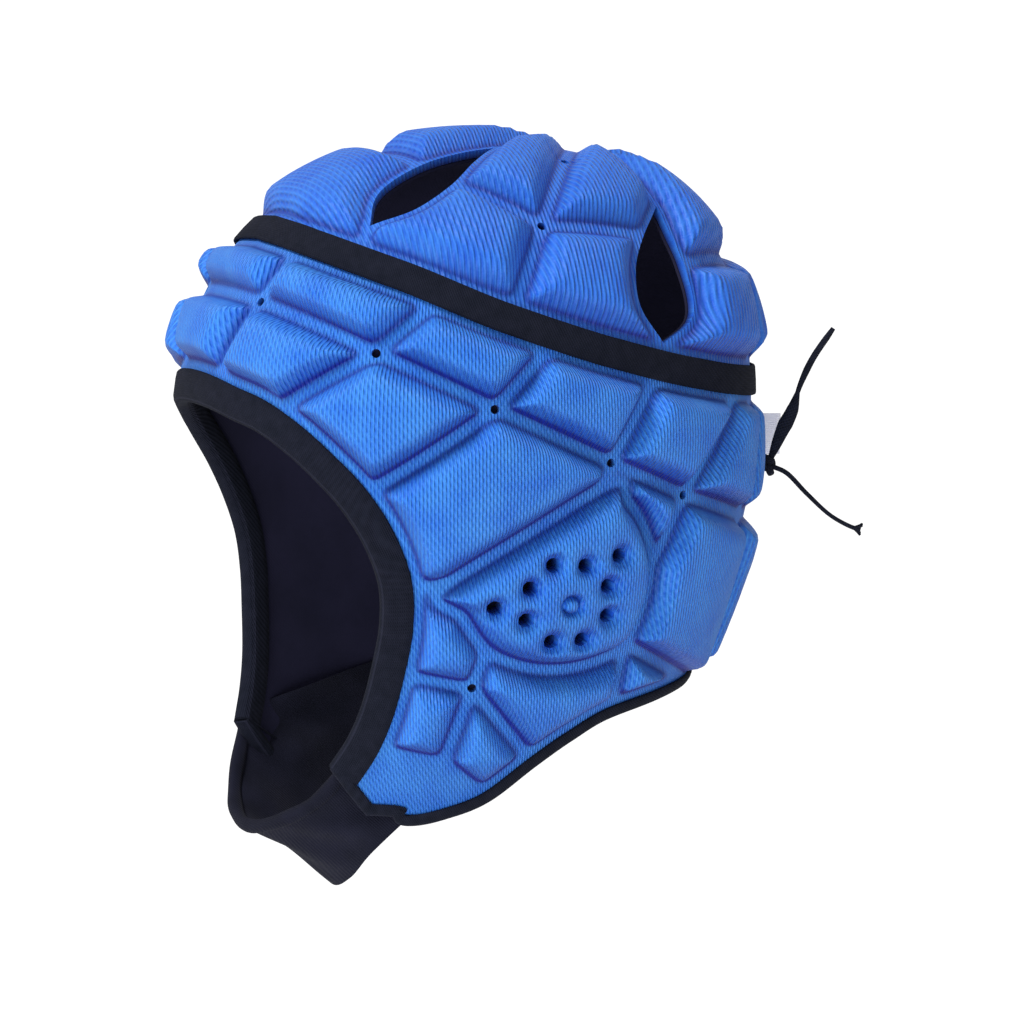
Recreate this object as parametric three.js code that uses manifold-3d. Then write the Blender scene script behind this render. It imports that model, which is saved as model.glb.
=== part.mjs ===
// Padded rugby scrum cap: moulded foam crown and side shells, linings, bindings, band, strap and laces.
// Millimetres, +Z up, the face opening towards -Y, the wearer's left at +X, origin at the inner crown apex.
import * as THREE from "three";
import { mergeVertices } from "three/addons/utils/BufferGeometryUtils.js";
import Module from "manifold-3d";

const wasm = await Module();
wasm.setup();

// Driving sizes of the head form that the cap is moulded on
const HEAD_LENGTH = 196;
const HEAD_WIDTH = 160;
const CAP_HEIGHT = 235;
const WIDEST_LEVEL = 0.4;
const DOME_EXPONENT = 2.36;
const APEX_SHIFT_BACK = 3;

// Sheets, pads and seams
const GAP = 0.3;
const LINING_THICKNESS = 1;
const SHELL_THICKNESS = 2.7;
const PAD_RISE = 7.2;
const PAD_DOME = 1;
const PAD_WALL_RUN = 3.2;
const PAD_CORNER = 5;
const GROOVE_WIDTH = 5;
const MESH_STEP = 18;
const EDGE_STEP = 16;
const ROUNDED_TURN = 0.6;
const STRAIGHT_TURN = 0.12;
const SHORTEST_SIDE = 0.8;
const LEAST_AREA = 0.05;
const TURNED_COST = 1000;
const HEART_ROUNDS = 30;
const HEART_CLEARANCE = 1;
const CORNER_SHARE = 0.4;

// Trims
const BAND_WIDTH = 10;
const BAND_THICKNESS = 1.2;
const FACE_BINDING_WIDTH = 11;
const FACE_BINDING_ROLL = 2.4;
const HEM_BINDING_WIDTH = 4.5;
const HEM_BINDING_ROLL = 1.6;
const HEM_STOP_SHARE = 0.19;
const BINDING_THICKNESS = 1;
const PAD_TO_BINDING = 3;
const PAD_TO_VENT = 2.2;
const PAD_TO_BAND = 2;
const BAND_STATIONS = 40;
const BAND_PROBE = 0.5;
const BINDING_CROWN = 0.2;

// Holes
const PUNCH_DIAMETER = 3;
const EAR_HOLE_DIAMETER = 5;
const EAR_HOLE_FLARE = 1.25;
const HOLE_SIDES = 6;

// Chin strap, laces and label
const STRAP_THICKNESS = 2;
const STRAP_ROLL_DIAMETER = 4.5;
const LACE_WIDTH = 4.5;
const LACE_THICKNESS = 1.2;
const LACE_SIDES = 8;
const LACE_STEP = 5;
const KNOT_DIAMETER = 6.5;
const KNOT_SIDES = 10;
const KNOT_RINGS = 6;
const LABEL_LENGTH = 17;
const LABEL_HEIGHT = 15;
const LABEL_THICKNESS = 0.5;
const LABEL_AROUND = 176.4;
const LABEL_LEVEL = 0.438;
const LABEL_LEAN = 15;
const LABEL_SEAT = 0.3;
const STRAP_STATIONS = 20;
const STRAP_BOW = 1.5;
const STRAP_ROLL_START = 0.12;
const ROLL_SIDES = 6;
const STRAP_PROBE = 0.02;
const RUNG_HALF_TURN = 5.5;
const RUNG_SLACK = 0.6;
const LACE_RUNG_LEVELS = [0.487, 0.56, 0.65];
const KNOT_AROUND = 165.8;
const KNOT_LEVEL = 0.478;
const KNOT_FLATNESS = 0.8;
const KNOT_SEAT = 0.3;

// The strap runs from inside one jaw flap under the chin to the other: shares of the half head width, the
// half head length and the cap height, from the left end to the middle.
const STRAP_LINE = rows(["front_out", "front_y", "front_level", "rear_out", "rear_y", "rear_level"], [
  [0.615, -0.590, 0.820, 0.750, -0.300, 0.860],
  [0.530, -0.620, 0.885, 0.615, -0.430, 0.935],
  [0.440, -0.660, 0.925, 0.490, -0.540, 1.000],
  [0.270, -0.730, 0.955, 0.280, -0.570, 1.050],
  [0.000, -0.735, 0.965, 0.000, -0.560, 1.070],
]);

// The two free lace ends as steps from the knot's centre, chosen by hand.
const LACE_UP = [[1.2, 3, 3], [3, 7.1, 14], [4.5, 10.1, 21], [5.5, 12.5, 29.6], [7.4, 16.5, 39.4],
  [10.3, 23.3, 50.5]];
const LACE_DOWN = [[2.4, 3.1, 1], [4, 8.1, -1.4], [6.7, 15.1, -9], [10.2, 23.1, -17], [13.4, 30.3, -21.3],
  [14.6, 32.9, -22]];

const FLOOR = LINING_THICKNESS + GAP + SHELL_THICKNESS;

function rows(columns, values) {
  return values.map((row) => Object.fromEntries(columns.map((column, i) => [column, row[i]])));
}

// Sections of the form below its widest level, as shares of the half length and half width.
const SECTIONS = rows(["level", "front", "back", "side", "squareness"], [
  [0.40, 1.00, 1.00, 1.00, 2.25],
  [0.52, 0.99, 0.99, 0.995, 2.2],
  [0.64, 0.96, 0.90, 0.96, 2.1],
  [0.76, 0.92, 0.79, 0.90, 2.0],
  [0.88, 0.90, 0.69, 0.80, 2.0],
  [1.00, 0.88, 0.60, 0.66, 2.0],
]);

// Places on the side shell: around in degrees from the forehead to the wearer's left, level as a share of
// the cap's height below the crown. Grooves run between these places.
const SIDE_PLACES = rows(["name", "around", "level"], [
  ["brow", 16, 0.203],
  ["temple", 45.7, 0.262],
  ["ear_front", 72, 0.339],
  ["ear_top", 101.7, 0.423],
  ["ear_back", 122.3, 0.480],
  ["nape_top", 147, 0.528],
  ["ear_pad_top", 100, 0.456],
  ["ear_rim_a", 106.5, 0.482],
  ["ear_rim_b", 111.5, 0.524],
  ["ear_rim_c", 114.3, 0.577],
  ["ear_rim_d", 113.5, 0.632],
  ["ear_foot", 109, 0.690],
  ["ear_rim_e", 101, 0.711],
  ["ear_rim_f", 90, 0.719],
  ["ear_rim_g", 79.5, 0.710],
  ["ear_pad_low", 70.7, 0.684],
  ["ear_rim_h", 65, 0.636],
  ["ear_pad_front", 61, 0.588],
  ["jaw_cross", 67.3, 0.740],
  ["jaw_low", 59.7, 0.852],
]);

// The line along the face opening at the outer edge of its binding's visible tape, from the forehead.
const FACE_LINE = rows(["name", "around", "level"], [
  ["face_0", 0, 0.306],
  ["face_brow", 8, 0.309],
  ["face_a", 15.5, 0.318],
  ["face_temple", 24, 0.333],
  ["face_b", 32, 0.363],
  ["face_c", 39, 0.403],
  ["face_cheek", 45.5, 0.452],
  ["face_d", 50.8, 0.512],
  ["face_ear", 54, 0.580],
  ["face_e", 53.9, 0.650],
  ["face_jaw", 51.5, 0.718],
  ["face_f", 48, 0.785],
  ["face_chin", 43.5, 0.840],
  ["face_end", 38, 0.886],
]);

// The line along the lower hem and up the rear slit, from the jaw.
const HEM_LINE = rows(["name", "around", "level"], [
  ["hem_end", 39.5, 0.916],
  ["hem_a", 49, 0.932],
  ["hem_b", 60, 0.921],
  ["hem_chin", 71, 0.899],
  ["hem_jaw", 84, 0.850],
  ["hem_c", 95, 0.813],
  ["hem_ear", 107, 0.785],
  ["hem_d", 127, 0.771],
  ["hem_nape", 147, 0.766],
  ["hem_e", 167, 0.762],
  ["hem_f", 173.5, 0.752],
  ["hem_g", 175.3, 0.728],
  ["slit_mid", 175.6, 0.532],
  ["slit_top", 175.6, 0.3444],
]);

// The band's middle line, on which the crown and the side shell meet.
const BAND_LINE = rows(["around", "level"], [
  [0, 0.112],
  [22, 0.124],
  [48, 0.161],
  [73, 0.215],
  [99, 0.264],
  [128, 0.309],
  [152, 0.334],
  [180, 0.344],
]);

// Where grooves of the side shell and of the crown reach the band.
const BAND_PLACES = rows(["name", "around"], [
  ["band_brow", 20],
  ["band_temple", 59],
  ["band_ear_front", 87.5],
  ["band_ear_top", 115],
  ["band_ear_back", 143],
  ["band_nape", 152],
  ["vent_1_foot", 36.5],
  ["middle_foot", 75],
  ["vent_2_foot", 118],
  ["rear_foot", 151],
]);

// Places on the crown: degrees turned about its pole from the front to the wearer's left, and tilted off it.
const CROWN_PLACES = rows(["name", "turn", "tilt"], [
  ["pole", 0, 0],
  ["vent_1_tip", 21, 36],
  ["vent_1_front_a", 20, 49],
  ["vent_1_front_b", 19.5, 62],
  ["vent_1_front_c", 21, 75],
  ["vent_1_end", 26.5, 83.5],
  ["vent_1_rear_a", 31, 52],
  ["vent_1_rear_b", 34.5, 65],
  ["vent_1_rear_c", 32.5, 76],
  ["middle", 62.5, 67],
  ["vent_2_tip", 109, 43],
  ["vent_2_front_a", 96.5, 57.5],
  ["vent_2_front_b", 93, 69],
  ["vent_2_front_c", 95.5, 79],
  ["vent_2_end", 104, 86],
  ["vent_2_rear_a", 109.5, 53],
  ["vent_2_rear_b", 112, 62],
  ["vent_2_rear_c", 114, 76],
  ["rear", 149, 56],
]);

// Cells between grooves, their places anticlockwise as seen from outside; a leading minus mirrors a place.
// A centre cell is built once, the others on both sides. rise is a share of PAD_RISE, 0 is a flat cell.
const SIDE_CELLS = rows(["name", "centre", "rise", "places"], [
  ["forehead_upper", true, 1.0, ["-band_brow", "-brow", "brow", "band_brow"]],
  ["forehead_lower", true, 1.0, ["-brow", "-face_brow", "face_brow", "brow"]],
  ["brow_upper", false, 1.0, ["band_brow", "brow", "temple", "band_temple"]],
  ["brow_lower", false, 1.0, ["brow", "face_brow", "face_temple", "temple"]],
  ["temple_upper", false, 1.0, ["band_temple", "temple", "ear_front", "band_ear_front"]],
  ["temple_lower", false, 1.0, ["temple", "face_temple", "face_cheek", "ear_front"]],
  ["ear_upper", false, 1.0, ["band_ear_front", "ear_front", "ear_top", "band_ear_top"]],
  ["cheek", false, 1.0, ["ear_front", "face_cheek", "face_ear", "ear_pad_front", "ear_pad_top", "ear_top"]],
  ["rear_upper", false, 1.0, ["band_ear_top", "ear_top", "ear_back", "band_ear_back"]],
  ["rear_strip", false, 1.0, ["band_ear_back", "ear_back", "nape_top", "band_nape"]],
  ["nape_upper", false, 1.0, ["band_nape", "nape_top", "slit_mid", "slit_top"]],
  ["ear_wedge", false, 0.9, ["ear_top", "ear_pad_top", "ear_rim_a", "ear_rim_b", "ear_rim_c", "ear_back"]],
  ["rear_tall", false, 1.0, ["ear_back", "ear_rim_c", "ear_rim_d", "ear_foot", "hem_nape", "nape_top"]],
  ["nape_lower", false, 1.0, ["nape_top", "hem_nape", "slit_mid"]],
  ["ear_pad", false, 0.9, ["ear_pad_top", "ear_pad_front", "ear_rim_h", "ear_pad_low", "ear_rim_g",
    "ear_rim_f", "ear_rim_e", "ear_foot", "ear_rim_d", "ear_rim_c", "ear_rim_b", "ear_rim_a"]],
  ["jaw_front", false, 0.85,
    ["ear_pad_front", "face_ear", "face_jaw", "jaw_cross", "ear_pad_low", "ear_rim_h"]],
  ["jaw_middle", false, 0.8, ["face_jaw", "face_chin", "jaw_low", "jaw_cross"]],
  ["jaw_rear", false, 0.8, ["jaw_cross", "jaw_low", "hem_chin", "hem_jaw"]],
  ["under_ear", false, 0.9, ["ear_pad_low", "jaw_cross", "hem_jaw", "hem_ear", "ear_foot", "ear_rim_e",
    "ear_rim_f", "ear_rim_g"]],
  ["under_rear", false, 0.8, ["ear_foot", "hem_ear", "hem_nape"]],
  ["jaw_flap", false, 0, ["face_chin", "face_end", "hem_end", "hem_chin", "jaw_low"]],
]);

const CROWN_CELLS = rows(["name", "centre", "rise", "places"], [
  ["front_upper", true, 1.2, ["pole", "-vent_1_tip", "-vent_1_front_a", "-vent_1_front_b", "vent_1_front_b",
    "vent_1_front_a", "vent_1_tip"]],
  ["front_lower", true, 1.1, ["-vent_1_front_b", "-vent_1_front_c", "-vent_1_end", "-vent_1_foot",
    "vent_1_foot", "vent_1_end", "vent_1_front_c", "vent_1_front_b"]],
  ["left_front_upper", false, 1.2, ["pole", "vent_1_tip", "vent_1_rear_a", "vent_1_rear_b", "middle"]],
  ["left_front_lower", false, 1.0, ["vent_1_rear_b", "vent_1_rear_c", "vent_1_end", "vent_1_foot",
    "middle_foot", "middle"]],
  ["left_rear_upper", false, 0.95, ["pole", "middle", "vent_2_front_a", "vent_2_tip"]],
  ["left_rear_lower", false, 1.0, ["middle", "middle_foot", "vent_2_foot", "vent_2_end", "vent_2_front_c",
    "vent_2_front_b", "vent_2_front_a"]],
  ["rear_upper", false, 0.95, ["pole", "vent_2_tip", "vent_2_rear_a", "vent_2_rear_b", "rear"]],
  ["rear_lower", false, 1.0, ["vent_2_rear_b", "vent_2_rear_c", "vent_2_end", "vent_2_foot", "rear_foot",
    "rear"]],
  ["back_upper", true, 0.95, ["pole", "rear", "-rear"]],
  ["back_lower", true, 1.0, ["rear", "rear_foot", "-rear_foot", "-rear"]],
]);

// Centres of the holes through each ear pad.
const EAR_HOLES = rows(["around", "level"], [
  [71.7, 0.616],
  [79.7, 0.590],
  [85.3, 0.559],
  [93.3, 0.562],
  [102.0, 0.551],
  [99.3, 0.593],
  [99.7, 0.636],
  [93.7, 0.669],
  [85.7, 0.669],
  [79.0, 0.635],
]);
const PUNCHED_SIDE = ["brow", "temple", "ear_front", "ear_top", "ear_back", "jaw_cross"];
const PUNCHED_CROWN = ["middle", "rear"];

const MATERIALS = {
  mesh_blue: new THREE.MeshStandardMaterial({ color: 0x2f6fd8, roughness: 0.6, metalness: 0 }),
  navy: new THREE.MeshStandardMaterial({ color: 0x14161f, roughness: 0.8, metalness: 0 }),
  lining: new THREE.MeshStandardMaterial({ color: 0x1a1c28, roughness: 0.95, metalness: 0 }),
  lace: new THREE.MeshStandardMaterial({ color: 0x12141c, roughness: 0.7, metalness: 0 }),
  label: new THREE.MeshStandardMaterial({ color: 0xe6e3ee, roughness: 0.6, metalness: 0 }),
};

// The head form
const HUB = new THREE.Vector3(0, 20, -60);
const POLE_PITCH = 20;
const DEGREE = Math.PI / 180;
const FINE_STEP = 0.3;
const SHIFT_POWER = 1.5;
const RAY_REACH = 260;
const LANDING_REACH = 40;
const BISECTIONS = 36;
const LINE_PROBE = 0.04;
const LEAST_ACROSS = 0.2;
const KEYS_PER_MM = 500;

// The cubic through two middle values, t from 0 to 1 between them, with their neighbours' slopes.
function throughValues(before, low, high, after, t) {
  return (2 * low + (high - before) * t + (2 * before - 5 * low + 4 * high - after) * t * t
    + (3 * low - before - 3 * high + after) * t * t * t) / 2;
}

function smoothValue(table, key, column, at) {
  const last = table.length - 1;
  let i = 0;
  while (i < last - 1 && at > table[i + 1][key]) i += 1;
  const before = table[Math.max(i - 1, 0)][column];
  const low = table[i][column];
  const high = table[i + 1][column];
  const after = i + 2 <= last ? table[i + 2][column] : 2 * high - low;
  const t = THREE.MathUtils.clamp((at - table[i][key]) / (table[i + 1][key] - table[i][key]), 0, 1.5);
  return throughValues(before, low, high, after, t);
}

// Below zero inside the form.
function formDepth(p) {
  const level = -p.z / CAP_HEIGHT;
  const up = Math.max((WIDEST_LEVEL - level) / WIDEST_LEVEL, 0);
  const section = (column) => smoothValue(SECTIONS, "level", column, Math.max(level, WIDEST_LEVEL));
  const y = p.y - APEX_SHIFT_BACK * up ** SHIFT_POWER;
  const halfLength = (HEAD_LENGTH / 2) * section(y < 0 ? "front" : "back");
  const halfWidth = (HEAD_WIDTH / 2) * section("side");
  const squareness = section("squareness");
  const reach = (Math.abs(p.x / halfWidth) ** squareness + Math.abs(y / halfLength) ** squareness)
    ** (1 / squareness);
  return reach ** DOME_EXPONENT + up ** DOME_EXPONENT - 1;
}

function formNormal(p) {
  const slope = (axis) => {
    const ahead = p.clone();
    const behind = p.clone();
    ahead[axis] += FINE_STEP;
    behind[axis] -= FINE_STEP;
    return formDepth(ahead) - formDepth(behind);
  };
  return new THREE.Vector3(slope("x"), slope("y"), slope("z")).normalize();
}

// The point of the form on a ray from inside it.
function rayToForm(start, direction, reach = RAY_REACH) {
  let near = 0;
  let far = reach;
  for (let i = 0; i < BISECTIONS; i += 1) {
    const middle = (near + far) / 2;
    if (formDepth(start.clone().addScaledVector(direction, middle)) < 0) near = middle;
    else far = middle;
  }
  return start.clone().addScaledVector(direction, far);
}

function onSide(around, level) {
  const up = THREE.MathUtils.clamp((WIDEST_LEVEL - level) / WIDEST_LEVEL, 0, 1);
  const start = new THREE.Vector3(0, APEX_SHIFT_BACK * up ** SHIFT_POWER, -level * CAP_HEIGHT);
  return rayToForm(start, new THREE.Vector3(Math.sin(around * DEGREE), -Math.cos(around * DEGREE), 0));
}

function onCrown(turn, tilt) {
  const pole = new THREE.Vector3(0, Math.sin(POLE_PITCH * DEGREE), Math.cos(POLE_PITCH * DEGREE));
  const front = new THREE.Vector3(0, -pole.z, pole.y);
  const direction = pole.multiplyScalar(Math.cos(tilt * DEGREE))
    .addScaledVector(front, Math.sin(tilt * DEGREE) * Math.cos(turn * DEGREE));
  direction.x += Math.sin(tilt * DEGREE) * Math.sin(turn * DEGREE);
  return rayToForm(HUB, direction);
}

// The point of the form nearest to p along a given normal.
function landOnForm(p, normal) {
  return rayToForm(p.clone().addScaledVector(normal, -LANDING_REACH), normal, 2 * LANDING_REACH);
}

function lift(p, height) {
  return p.clone().addScaledVector(formNormal(p), height);
}

function bandLevel(around) {
  const turned = Math.abs(((around + 540) % 360) - 180);
  return smoothValue(BAND_LINE, "around", "level", turned);
}

// Curved edges of the shells: each gives a point of the form at a place t along it, mirrored for t below 0.
function lineValue(line, column, t, odd) {
  const last = line.length - 1;
  const at = (i) => {
    const j = Math.min(Math.abs(i), last);
    return line[j][column] * (odd && i < 0 ? -1 : 1);
  };
  const i = Math.min(Math.floor(t), last - 1);
  const s = t - i;
  return throughValues(at(i - 1), at(i), at(i + 1), at(i + 2), s);
}

function pointOnLine(line, t) {
  return onSide(lineValue(line, "around", t, true), lineValue(line, "level", t, false));
}

// The shell's true edge lies under the binding, a margin beyond the line; outward points off the shell.
function edgeOnLine(line, margin, t) {
  const last = line.length - 1;
  const first = line === HEM_LINE ? 0 : -last;
  const ahead = pointOnLine(line, Math.min(t + LINE_PROBE, last));
  const behind = pointOnLine(line, Math.max(t - LINE_PROBE, first));
  const middle = pointOnLine(line, t);
  const normal = formNormal(middle);
  const outward = new THREE.Vector3().crossVectors(ahead.sub(behind).normalize(), normal).normalize();
  return { edge: landOnForm(middle.clone().addScaledVector(outward, margin), normal), outward };
}

const FACE_MARGIN = FACE_BINDING_WIDTH - FACE_BINDING_ROLL;
const HEM_MARGIN = HEM_BINDING_WIDTH - HEM_BINDING_ROLL;
const FACE_LAST = FACE_LINE.length - 1;
const HEM_LAST = HEM_LINE.length - 1;

const EDGES = {
  face: (t) => edgeOnLine(FACE_LINE, FACE_MARGIN, t).edge,
  hem: (t) => edgeOnLine(HEM_LINE, HEM_MARGIN, t).edge,
  seam_below: (t) => onSide(t, bandLevel(t) + GAP / CAP_HEIGHT),
  seam_above: (t) => onSide(t, bandLevel(t) - GAP / CAP_HEIGHT),
};
const FREE_EDGE_INSET = {
  face: FACE_MARGIN + PAD_TO_BINDING,
  hem: HEM_MARGIN + PAD_TO_BINDING,
  seam_below: BAND_WIDTH / 2 + PAD_TO_BAND,
  seam_above: BAND_WIDTH / 2 + PAD_TO_BAND,
};

function rowNamed(table, name) {
  return table.find((row) => row.name === name);
}

// Where a named place is, and how far along each edge that it lies on.
function placeOf(label, seam) {
  const side = label.startsWith("-") ? -1 : 1;
  const name = side < 0 ? label.slice(1) : label;
  const face = FACE_LINE.findIndex((row) => row.name === name) * side;
  const hem = HEM_LINE.findIndex((row) => row.name === name);
  const flat = rowNamed(SIDE_PLACES, name);
  const crown = rowNamed(CROWN_PLACES, name);
  const band = rowNamed(BAND_PLACES, name);
  const vent = /^vent_\d_(?!foot)/.test(name) ? label.slice(0, label.indexOf("vent") + 6) : null;
  if (name === "slit_top") {
    const point = EDGES.hem(HEM_LAST);
    return { point, hem: HEM_LAST, [seam]: 180 - Math.atan2(point.x, point.y) / DEGREE };
  }
  if (band) return { point: EDGES[seam](band.around * side), [seam]: band.around * side };
  if (hem >= 0) return { point: EDGES.hem(hem), hem };
  if (flat) return { point: onSide(flat.around * side, flat.level) };
  if (crown) return { point: onCrown(crown.turn * side, crown.tilt), vent };
  return { point: EDGES.face(face), face };
}

// The points from one place to the next, without the last, along an edge that both lie on or straight.
function stretch(a, b) {
  const edge = Object.keys(EDGES).find((key) => key in a && key in b);
  if (!edge) {
    const steps = Math.ceil(a.point.distanceTo(b.point) / MESH_STEP);
    return Array.from({ length: steps }, (_, i) => {
      const p = a.point.clone().lerp(b.point, i / steps);
      return i === 0 ? p : landOnForm(p, formNormal(p));
    });
  }
  const start = a[edge];
  let end = b[edge];
  if (!edge.startsWith("seam")) {
    const line = edge === "face" ? FACE_LINE : HEM_LINE;
    const stops = stopsAlong(line, Math.min(start, end), Math.max(start, end));
    if (end < start) stops.reverse();
    return stops.slice(0, -1).map((t, i) => (i === 0 ? a.point : EDGES[edge](t)));
  }
  if (Math.abs(end - start) > 180) end += 360 * Math.sign(start - end);
  const steps = Math.ceil(a.point.distanceTo(b.point) / EDGE_STEP);
  return Array.from({ length: steps }, (_, i) => (i === 0 ? a.point
    : EDGES[edge](start + (end - start) * (i / steps))));
}

// Stops along an edge from one place to a later one: each row of its table and even steps between rows.
function stopsAlong(line, from, to) {
  const stops = [from];
  for (let row = Math.floor(from); row < to; row += 1) {
    const steps = Math.ceil(pointOnLine(line, row).distanceTo(pointOnLine(line, row + 1)) / EDGE_STEP);
    for (let i = 1; i <= steps; i += 1) stops.push(row + i / steps);
  }
  return [...stops.filter((t) => t < to), to];
}

// A cell's outline on the form, with how far the foot of its pad stays from each stretch.
function outlineOf(cell, seam) {
  const places = cell.places.map((label) => placeOf(label, seam));
  const points = [];
  const insets = [];
  places.forEach((a, i) => {
    const b = places[(i + 1) % places.length];
    const edge = Object.keys(EDGES).find((key) => key in a && key in b);
    const besideVent = a.vent && a.vent === b.vent;
    const inset = edge ? FREE_EDGE_INSET[edge] : besideVent ? PAD_TO_VENT : GROOVE_WIDTH / 2;
    for (const p of stretch(a, b)) {
      points.push(p);
      insets.push(inset);
    }
  });
  return { points, insets };
}

// A flat chart that touches the form in the middle of a cell.
function chartOf(points) {
  const middle = points.reduce((sum, p) => sum.add(p), new THREE.Vector3()).divideScalar(points.length);
  const normal = formNormal(middle);
  const origin = landOnForm(middle, normal);
  const across = new THREE.Vector3(0, 0, 1).cross(normal);
  if (across.length() < LEAST_ACROSS) across.set(1, 0, 0);
  across.normalize();
  const upward = new THREE.Vector3().crossVectors(normal, across);
  const flatten = (p) => {
    const from = p.clone().sub(origin);
    return new THREE.Vector2(from.dot(across), from.dot(upward));
  };
  const place = (q) => {
    const onPlane = origin.clone().addScaledVector(across, q.x).addScaledVector(upward, q.y);
    return landOnForm(onPlane, normal);
  };
  return { origin, flatten, place };
}

// Where two neighbouring inset lines meet, or halfway between them where they run nearly straight on.
function meeting(before, after) {
  const turn = before.along.cross(after.along);
  if (Math.abs(turn) < STRAIGHT_TURN) return before.end.clone().add(after.start).divideScalar(2);
  const reach = after.start.clone().sub(before.start).cross(after.along) / turn;
  return before.start.clone().addScaledVector(before.along, reach);
}

// Moves each stretch of a ring inwards; stretches that the move turns back to front are left out.
function insetRing(ring, insets) {
  const lines = ring.map((p, i) => {
    const next = ring[(i + 1) % ring.length];
    const along = next.clone().sub(p).normalize();
    const inward = new THREE.Vector2(-along.y, along.x).multiplyScalar(insets[i]);
    return { start: p.clone().add(inward), end: next.clone().add(inward), along };
  });
  for (;;) {
    const corners = lines.map((line, i) => meeting(lines[(i + lines.length - 1) % lines.length], line));
    const runs = lines.map((line, i) => {
      const next = corners[(i + 1) % lines.length];
      return next.clone().sub(corners[i]).dot(line.along);
    });
    const shortest = Math.min(...runs);
    if (shortest > SHORTEST_SIDE || lines.length <= 3) return corners;
    lines.splice(runs.indexOf(shortest), 1);
  }
}

// Cuts each real corner of a ring once, as the moulded pads have round corners.
function roundCorners(ring, size) {
  return ring.flatMap((p, i) => {
    const toBefore = ring[(i + ring.length - 1) % ring.length].clone().sub(p);
    const toAfter = ring[(i + 1) % ring.length].clone().sub(p);
    const turn = Math.PI - Math.acos(toBefore.dot(toAfter) / (toBefore.length() * toAfter.length()));
    if (turn < ROUNDED_TURN) return [p];
    return [toBefore, toAfter].map((way) => {
      const share = Math.min(size / way.length(), CORNER_SHARE);
      return p.clone().addScaledVector(way, share);
    });
  });
}

const areaOf = (p, q, r) => q.clone().sub(p).cross(r.clone().sub(p)) / 2;

// The triangles between two rings: the set with the shortest rungs that turns no triangle over.
function zip(outer, inner) {
  const rings = { outer, inner };
  const at = ([ring, i]) => rings[ring][i];
  const step = (before, rung, triangle) => {
    const turned = areaOf(...triangle.map(at)) < LEAST_AREA;
    return { before, triangle, cost: before.cost + rung + (turned ? TURNED_COST : 0) };
  };
  let best = { cost: Infinity };
  for (let shift = 0; shift < inner.length; shift += 1) {
    const a = (i) => ["outer", i % outer.length];
    const b = (j) => ["inner", (j + shift) % inner.length];
    const reached = [];
    for (let i = 0; i <= outer.length; i += 1) {
      reached.push([]);
      for (let j = 0; j <= inner.length; j += 1) {
        const rung = at(a(i)).distanceTo(at(b(j)));
        const ways = [];
        if (i > 0) ways.push(step(reached[i - 1][j], rung, [a(i - 1), a(i), b(j)]));
        if (j > 0) ways.push(step(reached[i][j - 1], rung, [a(i), b(j), b(j - 1)]));
        ways.sort((one, other) => one.cost - other.cost);
        reached[i].push(ways[0] ?? { cost: 0 });
      }
    }
    const last = reached[outer.length][inner.length];
    if (last.cost < best.cost) best = last;
  }
  const triangles = [];
  for (let way = best; way.before; way = way.before) triangles.push(way.triangle);
  return triangles;
}

// A point that sees every side of a ring from inside, near its middle.
function heartOf(ring) {
  const heart = ring.reduce((sum, q) => sum.add(q), new THREE.Vector2()).divideScalar(ring.length);
  for (let round = 0; round < HEART_ROUNDS; round += 1) {
    ring.forEach((p, i) => {
      const along = ring[(i + 1) % ring.length].clone().sub(p).normalize();
      const clearance = along.cross(heart.clone().sub(p));
      const short = Math.max(HEART_CLEARANCE - clearance, 0);
      heart.addScaledVector(new THREE.Vector2(-along.y, along.x), short);
    });
  }
  return heart;
}

// Triangles gathered under the rounded place of each vertex, so that neighbouring cells share their edges.
class Sheet {
  constructor() {
    this.keys = new Map();
    this.vertices = [];
    this.triangles = [];
  }

  vertex(formPoint, height) {
    const { x, y, z } = formPoint;
    const key = [x, y, z, height].map((v) => Math.round(v * KEYS_PER_MM) || 0).join();
    if (!this.keys.has(key)) {
      this.keys.set(key, this.vertices.length);
      this.vertices.push({ formPoint, height, position: lift(formPoint, height) });
    }
    return this.keys.get(key);
  }

  add(a, b, c) {
    if (a !== b && b !== c && c !== a) this.triangles.push([a, b, c]);
  }

  // Adds the wall under every open edge of the faces so far, down to the other face.
  closeRims(faces, toHeight) {
    const directed = new Set(faces.flatMap(([a, b, c]) => [`${a},${b}`, `${b},${c}`, `${c},${a}`]));
    for (const edge of directed) {
      const [a, b] = edge.split(",").map(Number);
      if (directed.has(`${b},${a}`)) continue;
      const [lowA, lowB] = [a, b].map((i) => this.vertex(this.vertices[i].formPoint, toHeight));
      this.add(b, a, lowA);
      this.add(b, lowA, lowB);
    }
  }

  geometry() {
    const geometry = new THREE.BufferGeometry();
    const positions = this.vertices.flatMap((v) => v.position.toArray());
    geometry.setAttribute("position", new THREE.Float32BufferAttribute(positions, 3));
    geometry.setIndex(this.triangles.flat());
    return geometry;
  }
}

const mirrored = (p) => new THREE.Vector3(-p.x || 0, p.y, p.z);

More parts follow.
